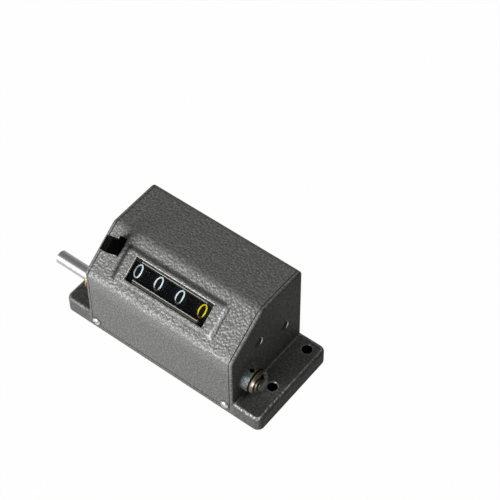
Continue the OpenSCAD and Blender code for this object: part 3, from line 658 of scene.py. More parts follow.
def roundedChain(corners, radii, steps):
    points = [corners[0]]
    for a, b, c, radius in zip(corners, corners[1:], corners[2:], radii):
        toA, toC = (a - b).normalized(), (c - b).normalized()
        half = toA.angle(toC) / 2
        middle = b + (toA + toC).normalized() * (radius / math.sin(half))
        start = b + toA * (radius / math.tan(half)) - middle
        sweep = math.copysign(math.pi - 2 * half, (b - a).cross(c - b))
        points += [middle + Matrix.Rotation(sweep * i / steps, 2) @ start for i in range(steps + 1)]
    return points + [corners[-1]]


def caseCorners(low):
    return [Vector(p) for p in ((frontY, low), (frontY, caseShape["frontTop"]),
                                (frontY + caseShape["slopeRun"], topZ), (backY, topZ), (backY, low))]


def caseOutline(inset, low):
    radii = [radius - inset for radius in caseShape["cheekFolds"]]
    return roundedChain(insetChain(caseCorners(low), inset), radii, caseShape["foldSteps"])


def roundedRect(x0, y0, x1, y1, radius, steps):
    points = []
    for cx, cy, start in ((x1 - radius, y0 + radius, -90), (x1 - radius, y1 - radius, 0),
                          (x0 + radius, y1 - radius, 90), (x0 + radius, y0 + radius, 180)):
        for i in range(steps + 1):
            a = math.radians(start + 90 * i / steps)
            points.append((cx + radius * math.cos(a), cy + radius * math.sin(a)))
    return points


# camera, set from the middle of the front's lower edge
cameraSettings = {
    "azimuth": 38.28, "elevation": 51.05, "roll": -0.53,
    "right": 43.79, "up": 57.74, "away": 809.7,
    "lens": 119.37, "sensor": 36.0, "clip": (0.01, 20),  # clip in metres
}


def wayTowards(azimuth, elevation):  # azimuth from the front towards the right
    azimuth, elevation = math.radians(azimuth), math.radians(elevation)
    flat = math.cos(elevation)
    return Vector((math.sin(azimuth) * flat, -math.cos(azimuth) * flat, math.sin(elevation)))


def placeCamera(s):
    azimuth, roll = math.radians(s["azimuth"]), math.radians(s["roll"])
    back = wayTowards(s["azimuth"], s["elevation"])
    level = Vector((math.cos(azimuth), math.sin(azimuth), 0))
    upright = back.cross(level)
    right = level * math.cos(roll) + upright * math.sin(roll)
    up = upright * math.cos(roll) - level * math.sin(roll)
    place = Vector((0, frontY, 0)) + right * s["right"] + up * s["up"] + back * s["away"]
    data = bpy.data.cameras.new("camera")
    data.lens, data.sensor_width = s["lens"], s["sensor"]
    data.clip_start, data.clip_end = s["clip"]
    camera = bpy.data.objects.new("camera", data)
    scene.collection.objects.link(camera)
    camera.matrix_world = Matrix.Translation(place * mm) @ Matrix((right, up, back)).transposed().to_4x4()
    scene.camera = camera


placeCamera(cameraSettings)


# studio
studioSettings = {
    "floor": (0.45, 0.45, 0.45), "floorRoughness": 0.9, "floorHalf": 4000.0, "floorTop": -0.2,
    "glow": 0.985,  # share of plain white in what the floor shows
    "world": 0.07,
    "surround": 0.24,  # what metal mirrors above the floor
    "aim": (0, 0, 0.03),  # metres, as the lamps are
    "lamps": [  # name, azimuth, elevation, distance, size, watts
        ("frontSoftbox", -16, 16, 0.62, 0.28, 5.2),
        ("topSoftbox", 125, 70, 0.95, 1.0, 1.3),
        ("backFill", -165, 22, 1.3, 0.8, 1.2),
    ],
}


def layFloor(s):
    half = s["floorHalf"]
    corners = [(-half, -half), (half, -half), (half, half), (-half, half)]
    floor = addMesh("floor", [(x, y, s["floorTop"]) for x, y in corners], [], [(0, 1, 2, 3)])
    material, tree, shader = startMaterial("paleFloor", roughness=s["floorRoughness"])
    shader.inputs["Base Color"].default_value = (*s["floor"], 1)
    path = addNode(tree, "ShaderNodeLightPath").outputs
    seen = doMath(tree, "MAXIMUM", path["Is Camera Ray"], path["Is Glossy Ray"])
    seen = doMath(tree, "MAXIMUM", seen, path["Is Transmission Ray"])
    share = doMath(tree, "MULTIPLY", seen, s["glow"])
    glow = nodeOut(tree, "ShaderNodeEmission", {"Color": (1, 1, 1, 1), "Strength": 1.0})
    blend = nodeOut(tree, "ShaderNodeMixShader", {0: share, 1: shader.outputs[0], 2: glow})
    tree.links.new(blend, tree.nodes["Material Output"].inputs["Surface"])
    floor.data.materials.append(material)


def setLight(s):
    world = bpy.data.worlds.new("studio")
    world.use_nodes = True
    tree = world.node_tree
    background = tree.nodes["Background"].inputs
    background["Color"].default_value = (1, 1, 1, 1)
    path = addNode(tree, "ShaderNodeLightPath").outputs
    mirrored = doMath(tree, "MULTIPLY", path["Is Glossy Ray"], s["surround"])
    plain = doMath(tree, "MAXIMUM", path["Is Camera Ray"], s["world"])
    tree.links.new(doMath(tree, "MAXIMUM", mirrored, plain), background["Strength"])
    scene.world = world
    for name, azimuth, elevation, distance, size, watts in s["lamps"]:
        way = wayTowards(azimuth, elevation)
        lamp = bpy.data.lights.new(name, "AREA")
        lamp.shape, lamp.size, lamp.energy = "SQUARE", size, watts
        holder = bpy.data.objects.new(name, lamp)
        scene.collection.objects.link(holder)
        facing = way.to_track_quat("Z", "Y").to_matrix().to_4x4()
        holder.matrix_world = Matrix.Translation(Vector(s["aim"]) + way * distance) @ facing
    scene.view_settings.view_transform = "Standard"


layFloor(studioSettings)
setLight(studioSettings)
print("camera, floor and lamps set")


# casting: foot plate, two cheeks, bosses
castingShape = {
    **caseShape,
    "plateRound": 1.9, "plateChamfer": 0.3,
    "cheekIn": 41.0, "sheetRoom": 1.05, "webLift": 0.3, "webReach": 0.4,
    "rimRound": 1.2, "seamRound": 0.3, "cornerFillet": 0.9, "filletRoot": 0.3, "filletShort": 1.4,
    "floorTop": 5.0, "wall": 3.5, "notchLow": 2.75,
    "bossRound": 0.6, "bossFillet": 0.9, "filletSink": 0.05, "bore": 5.02,
    "holeMouth": 0.45, "holeChamfer": 0.3,
    "axleBore": 2.52, "recessRadius": 2.7, "recessDepth": 1.5, "recessMouth": 0.25,
    "oilRadius": 1.62,
    "lugLength": 5.0, "lugDepth": 8.0, "screwBore": 1.27,
    "springPost": (33.82, 12.0, 2.0, 12.0),  # x, y, radius, top
    "sink": 0.5,  # how far joined solids run into each other
    "hair": 0.02,  # step that keeps two faces from lying in one plane
    "past": 1.0,  # how far cutters, and the feet of joined solids, run past a face
    "arcSteps": 6,
}


def makeCasting(s):
    steps, past, sink = s["arcSteps"], s["past"], s["sink"]
    cheekIn, cheekOut, plateTop = s["cheekIn"], s["cheekOut"], s["footTop"]
    stations = [(0.0, s["plateChamfer"]), (s["plateChamfer"], 0.0)]
    stations += [(plateTop - dz, inset) for inset, dz in arcRun(s["plateRound"], steps)]
    plateLoops = []
    for z, inset in stations:
        outline = roundedRect(baseLow.x + inset, frontY + inset, baseHigh.x - inset, backY - inset,
                              s["footCorner"] - inset, steps)
        plateLoops.append([(x, y, z) for x, y in outline])
    casting = makePiece("casting", *loft(plateLoops))
    tray = boxPiece("tray", (-cheekIn, frontY + s["wall"], s["floorTop"]),
                    (cheekIn, backY - s["wall"], plateTop + past))
    frontNotch, backNotch = (frontY - past, frontY + s["sheetRoom"]), (backY - s["sheetRoom"], backY + past)
    notches = [boxPiece("notch", (-s["seamAt"], y0, s["notchLow"]), (s["seamAt"], y1, plateTop + past))
               for y0, y1 in (frontNotch, backNotch)]
    combine(casting, [tray, *notches], "DIFFERENCE")

    added = []
    for side in (-1, 1):
        rim = [(s["seamAt"] + dx, inset) for dx, inset in arcRun(s["seamRound"], steps)]
        rim += [(cheekOut - dx, inset) for inset, dx in arcRun(s["rimRound"], steps)]
        low = s["floorTop"] - past
        loops = [[(side * x, y, z) for y, z in caseOutline(inset + s["hair"] / 2, low)] for x, inset in rim]
        added.append(makePiece("cheekRim", *loft(loops)))
        loops = [[(side * x, y, z) for y, z in caseOutline(s["sheetRoom"], low + s["webLift"])]
                 for x in (cheekIn, s["seamAt"] + s["webReach"])]
        added.append(makePiece("cheekWeb", *loft(loops)))
        bossRadius, core = s["bossRadius"], s["bossRadius"] - sink
        boss = [(cheekIn + sink, 0.0), (cheekIn + sink, core), (cheekOut - sink, core)]
        boss += [(cheekOut - s["filletSink"], bossRadius + s["bossFillet"])]
        fillet = reversed(arcRun(s["bossFillet"], steps))
        boss += [(cheekOut + rise, bossRadius + out) for out, rise in fillet]
        boss += [(s["bossEnd"] - back, bossRadius - out) for out, back in arcRun(s["bossRound"], steps)]
        boss += [(s["bossEnd"], 0.0)]
        added.append(turned("boss", boss, (0, shaftLine.y, shaftLine.z), "x", side))
        lugX = sorted((side * (cheekIn - s["lugLength"]), side * (cheekIn + sink)))
        lugFrom, lugLow, lugTop = s["sheetRoom"] + s["hair"], s["floorTop"] - 2 * past, plateTop - s["hair"]
        for y0, y1 in ((frontY + lugFrom, frontY + s["lugDepth"]), (backY - s["lugDepth"], backY - lugFrom)):
            added.append(boxPiece("lug", (lugX[0], y0, lugLow), (lugX[1], y1, lugTop)))
        root, reach = s["filletRoot"], s["cornerFillet"]
        corner = [(cheekOut - root, plateTop - root), (cheekOut + reach, plateTop - root)]
        corner += [(cheekOut + out, plateTop + rise) for rise, out in arcRun(reach, steps)]
        corner += [(cheekOut - root, plateTop + reach)]
        ends = (frontY + s["filletShort"], backY - s["filletShort"])
        added.append(makePiece("fillet", *loft([[(side * x, y, z) for x, z in corner] for y in ends])))
    postX, postY, postRadius, postTop = s["springPost"]
    post = rod(s["floorTop"] - past, postTop, postRadius)
    added.append(turned("post", post, (postX, postY, 0), "z", steps=24))
    combine(casting, added, "UNION")

    holeRadius, foot = s["holeRadius"], s["holeRadius"] + s["holeChamfer"]
    hole = [(-past, 0), (-past, foot), (0, foot), (s["holeChamfer"], holeRadius)]
    hole += [(plateTop - back, holeRadius + out) for out, back in arcRun(s["holeMouth"], steps)]
    hole += [(plateTop + past, holeRadius + s["holeMouth"]), (plateTop + past, 0)]
    boreFrom, seat = cheekIn - 2 * past, cheekOut - s["recessDepth"]
    bore = rod(boreFrom, s["bossEnd"] + past, s["bore"])
    recess = [(boreFrom, 0), (boreFrom, s["axleBore"]), (seat, s["axleBore"]), (seat, s["recessRadius"])]
    recess += [(cheekOut - back, s["recessRadius"] + out) for out, back in arcRun(s["recessMouth"], 3)]
    recess += [(cheekOut + past, s["recessRadius"] + s["recessMouth"]), (cheekOut + past, 0)]
    oil = rod(s["bore"] - past, s["bossRadius"] + past, s["oilRadius"])
    screw = rod(-sink, s["lugDepth"] + sink, s["screwBore"])
    cuts = []
    for side in (-1, 1):
        for end in (-1, 1):
            cuts.append(turned("hole", hole, (side * s["holeX"], end * s["holeY"], 0), "z", steps=48))
        cuts.append(turned("bore", bore, (0, shaftLine.y, shaftLine.z), "x", side))
        for line in (axleLine, resetLine):
            cuts.append(turned("recess", recess, (0, line.y, line.z), "x", side, 40))
        cuts.append(turned("oil", oil, (side * s["oilX"], shaftLine.y, shaftLine.z), "z", steps=32))
        for y, way in ((frontY, 1), (backY, -1)):
            cuts.append(turned("screwBore", screw, (side * s["screwX"], y, s["screwZ"]), "y", way, 24))
    combine(casting, cuts, "DIFFERENCE")
    casting.data.materials.clear()
    casting.data.materials.append(finishes["cast_paint"])
    return smoothShade(casting)


casting = makeCasting(castingShape)
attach(casting, "frame")
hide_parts("base_frame")
print("casting:", len(casting.data.polygons), "faces")


# cover: one folded sheet with a formed pad round the window
coverShape = {
    **caseShape,
    "end": coverHigh.x - 0.1, "low": coverLow.z + 0.3, "endRound": 0.25, "lowRound": 0.3,
    "padHeight": 1.0, "padLow": (-31.36, 4.45), "padHigh": (30.5, 23.65), "padCorner": 2.8, "padWall": 2.1,
    "windowRound": 0.25,
    "slotLow": (-37.55, 15.1), "slotHigh": (-33.45, 24.5), "slotRound": 0.2,
    "screwHole": 1.3,
    "step": 0.55, "flatStep": 4.0,  # mesh on the slope, and up the flat faces
}


def spacedLines(low, high, step, fixed):
    fixed = sorted({round(v, 4) for v in (low, high, *fixed) if low <= v <= high})
    lines = []
    for a, b in zip(fixed, fixed[1:]):
        count = max(1, round((b - a) / step))
        lines += [a + (b - a) * i / count for i in range(count)]
    return lines + [high]


def besideEdge(edge, way, radius):
    return [edge + way * radius * share for share in (0, 0.12, 0.35, 0.65, 1)]


def edgeDrop(gap, radius):
    short = min(max(radius - gap, 0), radius)
    return radius - math.sqrt(radius ** 2 - short ** 2)


def outsideRect(x, u, low, high):
    return math.hypot(max(low[0] - x, 0, x - high[0]), max(low[1] - u, 0, u - high[1]))


def insideRounded(x, u, low, high, corner):
    pastX = abs(x - (low[0] + high[0]) / 2) - (high[0] - low[0]) / 2 + corner
    pastU = abs(u - (low[1] + high[1]) / 2) - (high[1] - low[1]) / 2 + corner
    return corner - math.hypot(max(pastX, 0), max(pastU, 0)) - min(max(pastX, pastU), 0)


def makeCover(s):
    holes = ((s["windowLow"], s["windowHigh"], s["windowRound"]),
             (s["slotLow"], s["slotHigh"], s["slotRound"]))
    fixedX = besideEdge(-s["end"], 1, s["endRound"]) + besideEdge(s["end"], -1, s["endRound"])
    fixedU = []
    for low, high, radius in holes:
        fixedX += besideEdge(low[0], -1, radius) + besideEdge(high[0], 1, radius)
        fixedU += besideEdge(low[1], -1, radius) + besideEdge(high[1], 1, radius)
    lineX = spacedLines(-s["end"], s["end"], s["step"], fixedX)

    corners = caseCorners(s["low"])
    bends = roundedChain(corners, s["sheetFolds"], s["foldSteps"])
    perBend = s["foldSteps"] + 1
    stations = []  # point on the outside, normal, place up the slope

    def straight(a, b, lines, slope):
        run = (b - a).normalized()
        for v in lines:
            stations.append((a + run * v, Vector((-run.y, run.x)), v if slope else None))

    def bend(points, a, b, c):
        first, last = (Vector((-d.y, d.x)) for d in ((b - a).normalized(), (c - b).normalized()))
        for i, p in enumerate(points[1:-1], 1):
            stations.append((p, first.lerp(last, i / (len(points) - 1)).normalized(), None))

    runs = [(bends[0], bends[1])]
    for k in range(1, 4):
        runs.append((bends[k * perBend], bends[1 + k * perBend]))
    for k, (a, b) in enumerate(runs):  # front, slope, top, back
        length, edge = (b - a).length, []
        if k == 1:
            start, end = (a - corners[1]).length, (b - corners[1]).length
            straight(corners[1], corners[2], spacedLines(start, end, s["step"], fixedU), True)
        else:
            if k == 0:
                edge = besideEdge(0, 1, s["lowRound"])
            elif k == 3:
                edge = besideEdge(length, -1, s["lowRound"])
            straight(a, b, spacedLines(0, length, s["flatStep"], edge), False)
        if k < 3:
            bend(bends[1 + k * perBend:1 + (k + 1) * perBend], *corners[k:k + 3])

    outer, inner = [], []
    for (y, z), normal, u in stations:
        for x in lineX:
            height = 0.0
            drop = edgeDrop(s["end"] - abs(x), s["endRound"])
            if u is None:
                drop = max(drop, edgeDrop(z - s["low"], s["lowRound"]))
            else:
                depth = insideRounded(x, u, s["padLow"], s["padHigh"], s["padCorner"]) / s["padWall"]
                depth = min(max(depth, 0), 1)
                height = s["padHeight"] * depth * depth * (3 - 2 * depth)
                for low, high, radius in holes:
                    drop = max(drop, edgeDrop(outsideRect(x, u, low, high), radius))
            for points, n in ((outer, height - drop), (inner, height - s["sheet"])):
                points.append((x, y + normal.x * n, z + normal.y * n))

    wide, faces = len(lineX), []
    for j in range(len(stations) - 1):
        for i in range(wide - 1):
            x = (lineX[i] + lineX[i + 1]) / 2
            u, v = stations[j][2], stations[j + 1][2]
            if u is not None and v is not None and any(
                    low[0] < x < high[0] and low[1] < (u + v) / 2 < high[1] for low, high, radius in holes):
                continue
            faces.append((j * wide + i, j * wide + i + 1, (j + 1) * wide + i + 1, (j + 1) * wide + i))
    edges = {(a, b): True for face in faces for a, b in zip(face, face[1:] + face[:1])}
    back = len(outer)
    walls = [(b, a, a + back, b + back) for a, b in edges if (b, a) not in edges]
    lining = [tuple(i + back for i in reversed(face)) for face in faces]
    cover = makePiece("foldedCover", outer + inner, faces + lining + walls, finishes["cover_paint"])
    work = bmesh.new()
    work.from_mesh(cover.data)
    bmesh.ops.delete(work, geom=[v for v in work.verts if not v.link_faces], context="VERTS")
    work.to_mesh(cover.data)
    work.free()
    screwHole = rod(-s["sheet"], 2 * s["sheet"], s["screwHole"])  # past the sheet on both sides
    bores = [turned("screwHole", screwHole, (side * s["screwX"], y, s["screwZ"]), "y", way, 24)
             for side in (-1, 1) for y, way in ((frontY, 1), (backY, -1))]
    combine(cover, bores, "DIFFERENCE")
    return smoothShade(cover, 40)


cover = makeCover(coverShape)
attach(cover, "frame")
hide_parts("cover")
print("cover:", len(cover.data.polygons), "faces")


# geometry node trees: named inputs, and one end for all of them
def startTree(name, inputs):
    tree = bpy.data.node_groups.new(name, "GeometryNodeTree")
    tree.interface.new_socket("Geometry", in_out="INPUT", socket_type="NodeSocketGeometry")
    tree.interface.new_socket("Geometry", in_out="OUTPUT", socket_type="NodeSocketGeometry")
    for key in inputs:
        tree.interface.new_socket(key, in_out="INPUT", socket_type="NodeSocketFloat")
    return tree, addNode(tree, "NodeGroupInput").outputs


def sweepAlong(tree, path, section):
    return nodeOut(tree, "GeometryNodeCurveToMesh", {
        "Curve": path, "Profile Curve": section, "Fill Caps": True})


def endTree(tree, geometry, material):
    real = nodeOut(tree, "GeometryNodeRealizeInstances", {"Geometry": geometry})
    finished = nodeOut(tree, "GeometryNodeSetMaterial", {"Geometry": real, "Material": material})
    addNode(tree, "NodeGroupOutput", {"Geometry": finished})
    return tree


def runTree(piece, tree, values):
    modifier = piece.modifiers.new(tree.name, "NODES")
    modifier.node_group = tree
    for item in tree.interface.items_tree:
        if item.item_type == "SOCKET" and item.in_out == "INPUT" and item.name in values:
            modifier[item.identifier] = float(values[item.name])
    return bakeMesh(piece)


# cover screws: one node tree, set on four points
screwShape = {
    "inputs": {"Head Radius": 2.3, "Head Height": 1.48, "Slot Width": 0.6, "Slot Depth": 0.8,
               "Shank Radius": 1.2, "Shank Length": 7.0},
    "rimShare": 0.22,  # height of the head at its rim
    "slotTurns": (38, -24), "sides": 40, "rings": 9, "shankSides": 24,
}


def screwTree(s, material):
    tree, given = startTree("coverScrew", s["inputs"])
    blank = nodeOut(tree, "GeometryNodeMeshCylinder", {
        "Vertices": s["sides"], "Side Segments": 1, "Fill Segments": s["rings"],
        "Radius": given["Head Radius"], "Depth": given["Head Height"]}, fill_type="TRIANGLE_FAN")
    place = nodeOut(tree, "GeometryNodeInputPosition")
    parts = partsOf(tree, place)
    fromMiddle = lengthOf(tree, doVector(tree, "MULTIPLY", place, (1, 1, 0)))
    share = doMath(tree, "DIVIDE", fromMiddle, given["Head Radius"])
    dome = doMath(tree, "SQRT", doMath(tree, "SUBTRACT", 1.0, doMath(tree, "MULTIPLY", share, share), True))
    rise = product(tree, spread(tree, dome, s["rimShare"], 1.0), given["Head Height"],
                   doMath(tree, "GREATER_THAN", parts["Z"], 0.0))
    head = nodeOut(tree, "GeometryNodeSetPosition", {
        "Geometry": blank, "Position": joined(tree, parts["X"], parts["Y"], rise)})
    cutSize = joined(tree, doMath(tree, "MULTIPLY", given["Head Radius"], 3.0), given["Slot Width"],
                     doMath(tree, "MULTIPLY", given["Slot Depth"], 2.0))
    cutter = nodeOut(tree, "GeometryNodeMeshCube", {"Size": cutSize})
    lift = joined(tree, z=given["Head Height"])
    cutter = nodeOut(tree, "GeometryNodeTransform", {"Geometry": cutter, "Translation": lift})
    slotted = nodeOut(tree, "GeometryNodeMeshBoolean", {0: head, 1: cutter}, operation="DIFFERENCE")
    shank = nodeOut(tree, "GeometryNodeMeshCylinder", {
        "Vertices": s["shankSides"], "Radius": given["Shank Radius"], "Depth": given["Shank Length"]})
    sunk = joined(tree, z=doMath(tree, "MULTIPLY", given["Shank Length"], -0.5))
    shank = nodeOut(tree, "GeometryNodeTransform", {"Geometry": shank, "Translation": sunk})
    whole = addNode(tree, "GeometryNodeJoinGeometry")
    tree.links.new(slotted, whole.inputs[0])
    tree.links.new(shank, whole.inputs[0])
    facing = nodeOut(tree, "GeometryNodeInputNamedAttribute", {"Name": "facing"}, data_type="FLOAT_VECTOR")
    points = nodeOut(tree, "GeometryNodeMeshToPoints", {"Mesh": given["Geometry"]})
    fourScrews = nodeOut(tree, "GeometryNodeInstanceOnPoints", {
        "Points": points, "Instance": whole.outputs[0], "Rotation": facing})
    return endTree(tree, fourScrews, material)


def makeScrews(s):
    places, turns = [], []
    for y, tilt in ((frontY, 90), (backY, -90)):
        for side, turn in zip((-1, 1), s["slotTurns"]):
            places.append((side * caseShape["screwX"], y, caseShape["screwZ"]))
            upright = Matrix.Rotation(math.radians(tilt), 3, "X")
            turns.append(upright @ Matrix.Rotation(math.radians(turn), 3, "Z"))
    screws = makePiece("coverScrews", places, [])
    facing = screws.data.attributes.new("facing", "FLOAT_VECTOR", "POINT")
    for item, turn in zip(facing.data, turns):
        item.vector = turn.to_euler()
    sizes = {name: size * mm for name, size in s["inputs"].items()}
    return smoothShade(runTree(screws, screwTree(s, finishes["screw_zinc"]), sizes), 40)


screws = makeScrews(screwShape)
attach(screws, "frame")
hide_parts("cover_screws")
print("screws:", len(screws.data.polygons), "faces")


# figures: strokes laid flat, then one node tree gives them width and rolls them onto a drum
figureShape = {
    "Stroke": 0.72, "Ink Height": 0.05, "Ink Sunk": 0.02,
    "halfWide": 1.76, "halfHigh": 3.36, "bend": 0.35, "bendSteps": 5,
    "pointGap": 0.16, "edgeLength": 0.5,
    "step": 36,  # degrees from figure to figure
    "drumWidth": 7.4,
    "offMiddle": {"hundreds": 0.2, "tens": -0.35, "units": -0.4, "tenths": 0.15},  # where the print sits
}
drumLow, drumHigh = nodeBox("number_wheel_units")
drumRadius = (drumHigh.z - drumLow.z) / 2


def arcStroke(cx, cy, rx, ry, start, end):
    count = max(4, round(math.radians(abs(end - start)) * max(rx, ry) / figureShape["pointGap"]))
    angles = [math.radians(start + (end - start) * i / count) for i in range(count + 1)]
    return [Vector((cx + rx * math.cos(a), cy + ry * math.sin(a))) for a in angles]


def lineStroke(*places):
    corners = [Vector(place) for place in places]
    return roundedChain(corners, [figureShape["bend"]] * len(corners), figureShape["bendSteps"])


def figureStrokes():  # about each figure's middle, 0 to 9
    w, h, half = figureShape["halfWide"], figureShape["halfHigh"], figureShape["Stroke"] / 2
    base = -h - half
    six = arcStroke(1.3, -h + w, w + 1.3, 2 * h - w, 97, 180) + arcStroke(0, -h + w, w, w, 180, 528)[1:]
    two = arcStroke(0, h - w, w, w, 165, -38) + lineStroke((0.9, 0.1), (-w, -h), (w + half, -h))[1:]
    three = arcStroke(-0.1, h - 1.5, 1.5, 1.5, 155, -80)
    three += arcStroke(-0.1, -h + 1.68, w + 0.05, 1.68, 78, -155)[1:]
    five = lineStroke((1.35, h), (-1.25, h), (-1.45, 0.25))
    five += arcStroke(-0.1, -h + 1.78, w + 0.05, 1.78, 128, -155)[2:]
    return [
        [arcStroke(0, 0, w, h, 0, 360)],
        [lineStroke((-1.0, 2.1), (0.3, h), (0.3, base))],
        [two],
        [three],
        [lineStroke((0.4, h + half), (-w - 0.1, -1.3), (w + 0.3, -1.3)),
         lineStroke((0.75, 0.7), (0.75, -1.3 + half)), lineStroke((0.75, -1.3 - half), (0.75, base))],
        [five],
        [six],
        [lineStroke((-w, h), (w, h), (-0.5, base))],
        [arcStroke(0, h - 1.5, 1.42, 1.5, -90, 270), arcStroke(0, -h + 1.66, w, 1.66, 90, 450)],
        [[-p for p in six]],
    ]


drumSizes = {name: figureShape[name] * mm for name in ("Stroke", "Ink Height", "Ink Sunk")}
drumSizes.update({"Drum Radius": drumRadius * mm, "Axle Y": axleLine.y * mm, "Axle Z": axleLine.z * mm,
                  "Window Angle": slopeAngle + math.pi / 2})


def figureTree(material):
    tree, given = startTree("drumFigures_" + material.name, drumSizes)
    path = nodeOut(tree, "GeometryNodeMeshToCurve", {"Mesh": given["Geometry"]})
    path = nodeOut(tree, "GeometryNodeSetCurveNormal", {"Curve": path}, mode="Z_UP")
    deep = doMath(tree, "ADD", given["Ink Height"], given["Ink Sunk"])
    section = nodeOut(tree, "GeometryNodeCurvePrimitiveQuadrilateral", {
        "Width": given["Stroke"], "Height": deep})
    flat = sweepAlong(tree, path, section)
    place = partsOf(tree, nodeOut(tree, "GeometryNodeInputPosition"))
    turn = doMath(tree, "DIVIDE", place["Y"], given["Drum Radius"])
    angle = doMath(tree, "SUBTRACT", given["Window Angle"], turn)
    lift = doMath(tree, "MULTIPLY", doMath(tree, "SUBTRACT", given["Ink Height"], given["Ink Sunk"]), 0.5)
    radius = doMath(tree, "ADD", doMath(tree, "ADD", given["Drum Radius"], place["Z"]), lift)
    y = doMath(tree, "ADD", given["Axle Y"], doMath(tree, "MULTIPLY", radius, doMath(tree, "COSINE", angle)))
    z = doMath(tree, "ADD", given["Axle Z"], doMath(tree, "MULTIPLY", radius, doMath(tree, "SINE", angle)))
    rolled = nodeOut(tree, "GeometryNodeSetPosition", {
        "Geometry": flat, "Position": joined(tree, place["X"], y, z)})
    return endTree(tree, rolled, material)


def makeFigures(wheel, tree, s):
    middle = nodeBox("heart_cam_" + wheel)[1].x + s["drumWidth"] / 2 + s["offMiddle"][wheel]
    points, edges = [], []
    for digit, strokes in enumerate(figureStrokes()):
        down = -math.radians(s["step"] * digit) * drumRadius
        for stroke in strokes:
            fine = []
            for a, b in zip(stroke, stroke[1:]):
                count = max(1, round((b - a).length / s["edgeLength"]))
                fine += [a.lerp(b, i / count) for i in range(count)]
            closed = (stroke[0] - stroke[-1]).length < 1e-6
            fine += [] if closed else [stroke[-1]]
            first = len(points)
            points += [(middle + p.x, p.y + down, 0) for p in fine]
            edges += [(first + i, first + i + 1) for i in range(len(fine) - 1)]
            edges += [(len(points) - 1, first)] if closed else []
    figures = addMesh("figures_" + wheel, points, edges, [])
    return smoothShade(runTree(figures, tree, drumSizes), 40)


whiteTree, yellowTree = figureTree(inkWhite), figureTree(inkYellow)
for wheel in figureShape["offMiddle"]:
    figures = makeFigures(wheel, yellowTree if wheel == "tenths" else whiteTree, figureShape)
    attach(figures, "wheel_" + wheel)
    print("figures on the", wheel, "wheel:", len(figures.data.polygons), "faces")


# return spring: a wound wire whose near leg lies along the rocker's arm
springShape = {
    "Wire Radius": 0.5, "wireSides": 12, "armAngle": 117.01, "turns": 5, "turnSteps": 36, "legLength": 9.0,
    "windFrom": 26.3, "windTo": 33.0,  # along x, from the rocker's leg to the frame's
}


def springTree(s, material):
    tree, given = startTree("woundWire", ["Wire Radius"])
    path = nodeOut(tree, "GeometryNodeMeshToCurve", {"Mesh": given["Geometry"]})
    section = nodeOut(tree, "GeometryNodeCurvePrimitiveCircle", {
        "Resolution": s["wireSides"], "Radius": given["Wire Radius"]})
    return endTree(tree, sweepAlong(tree, path, section), material)


def makeSpring(s):
    low, high = nodeBox("return_spring")
    wire, start = s["Wire Radius"], s["armAngle"] - 90
    radius = high.y - resetLine.y - wire
    sweep = start + 360 * s["turns"]
    count = round(sweep / 360 * s["turnSteps"])
    along = Vector((0, math.cos(math.radians(s["armAngle"])), math.sin(math.radians(s["armAngle"]))))
    coil = []
    for i in range(count + 1):
        a = math.radians(start - sweep * i / count)
        x = low.x + wire + (high.x - low.x - 2 * wire) * i / count
        coil.append(Vector((x, resetLine.y + radius * math.cos(a), resetLine.z + radius * math.sin(a))))
    points = [coil[0] + along * s["legLength"], *coil, Vector((coil[-1].x, coil[-1].y, low.z))]
    spring = addMesh("woundSpring", points, [(i, i + 1) for i in range(len(points) - 1)], [])
    tree = springTree(s, finishes["inner_steel"])
    return smoothShade(runTree(spring, tree, {"Wire Radius": wire * mm}), 40)


spring = makeSpring(springShape)
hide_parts("return_spring")
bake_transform(spring)
print("spring:", len(spring.data.polygons), "faces")


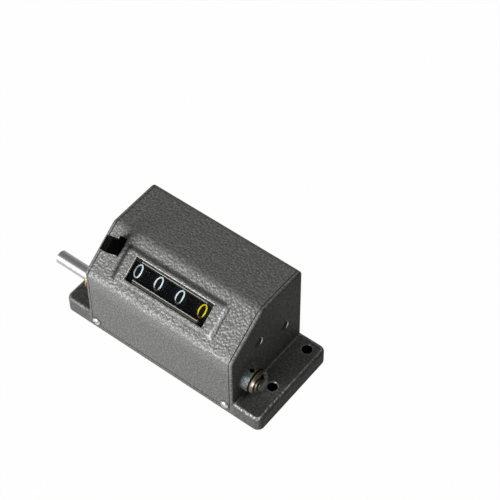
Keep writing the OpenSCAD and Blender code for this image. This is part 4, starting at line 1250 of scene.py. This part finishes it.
# window rails: a stepped strip below the figures, a plain bead above, and a thin gasket under the bead
railShape = {
    "ends": (-20.36, 19.04),
    "low": [(7.75, 0), (7.75, 0.10), (7.95, 0.10), (8.0, 0.24), (8.45, 0.24), (8.5, 0.10), (8.85, 0.10),
            (8.9, 0.24), (9.05, 0.24), (9.1, 0.36), (9.45, 0.36), (9.55, 0.28), (9.55, 0)],
    "high": [(18.8, 0.04), (18.8, 0.28), (18.88, 0.36), (19.27, 0.36), (19.35, 0.28), (19.38, 0.07),
             (19.65, 0.07), (19.67, 0.16), (19.85, 0.16), (19.85, 0.04)],
    "gasket": [(18.25, 0), (18.25, 0.04), (20.3, 0.04), (20.3, 0)], "gasketEnds": (-24.3, 22.98),
}


def makeRails(s):
    points, faces = [], []
    for section, ends in ((s["low"], s["ends"]), (s["high"], s["ends"]), (s["gasket"], s["gasketEnds"])):
        morePoints, moreFaces = loft([[slopePoint(x, u, n) for u, n in section] for x in ends])
        faces += [[i + len(points) for i in face] for face in moreFaces]
        points += morePoints
    return smoothShade(makePiece("windowRails", points, faces, finishes["rail_metal"]), 30)


rails = makeRails(railShape)
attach(rails, "frame")
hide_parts("window_rails")


# reset key: an oblong stem with soft edges, a dished end and a collar under the cover
keyShape = {
    "low": (-37.45, 15.2), "high": (-33.55, 22.9), "end": 12.8,
    "collarTop": -1.05, "collarLow": -2.85, "collarOver": 0.9,
    "corner": 0.5, "leastCorner": 0.2, "edge": 0.4, "dish": 0.35, "dishWide": 1.5, "arcSteps": 4,
}


def makeKey(s):
    def ringAt(n, inset):
        (left, low), (right, high) = s["low"], s["high"]
        corner = max(s["corner"] - inset, s["leastCorner"])
        outline = roundedRect(left + inset, low + inset, right - inset, high - inset, corner, s["arcSteps"])
        return [slopePoint(x, u, n) for x, u in outline]

    over = -s["collarOver"]
    loops = [ringAt(s["collarLow"], over), ringAt(s["collarTop"], over), ringAt(s["collarTop"], 0)]
    loops += [ringAt(s["end"] - back, inset) for inset, back in arcRun(s["edge"], s["arcSteps"])]
    for share in (0.25, 0.5, 0.75, 0.97):
        sunk = s["dish"] * math.sin(share * math.pi / 2)
        loops.append(ringAt(s["end"] - sunk, s["edge"] + share * s["dishWide"]))
    return smoothShade(makePiece("pushKey", *loft(loops), finishes["key_black"]), 40)


key = makeKey(keyShape)
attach(key, "key")
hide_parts("reset_key")
print("rails and key made")
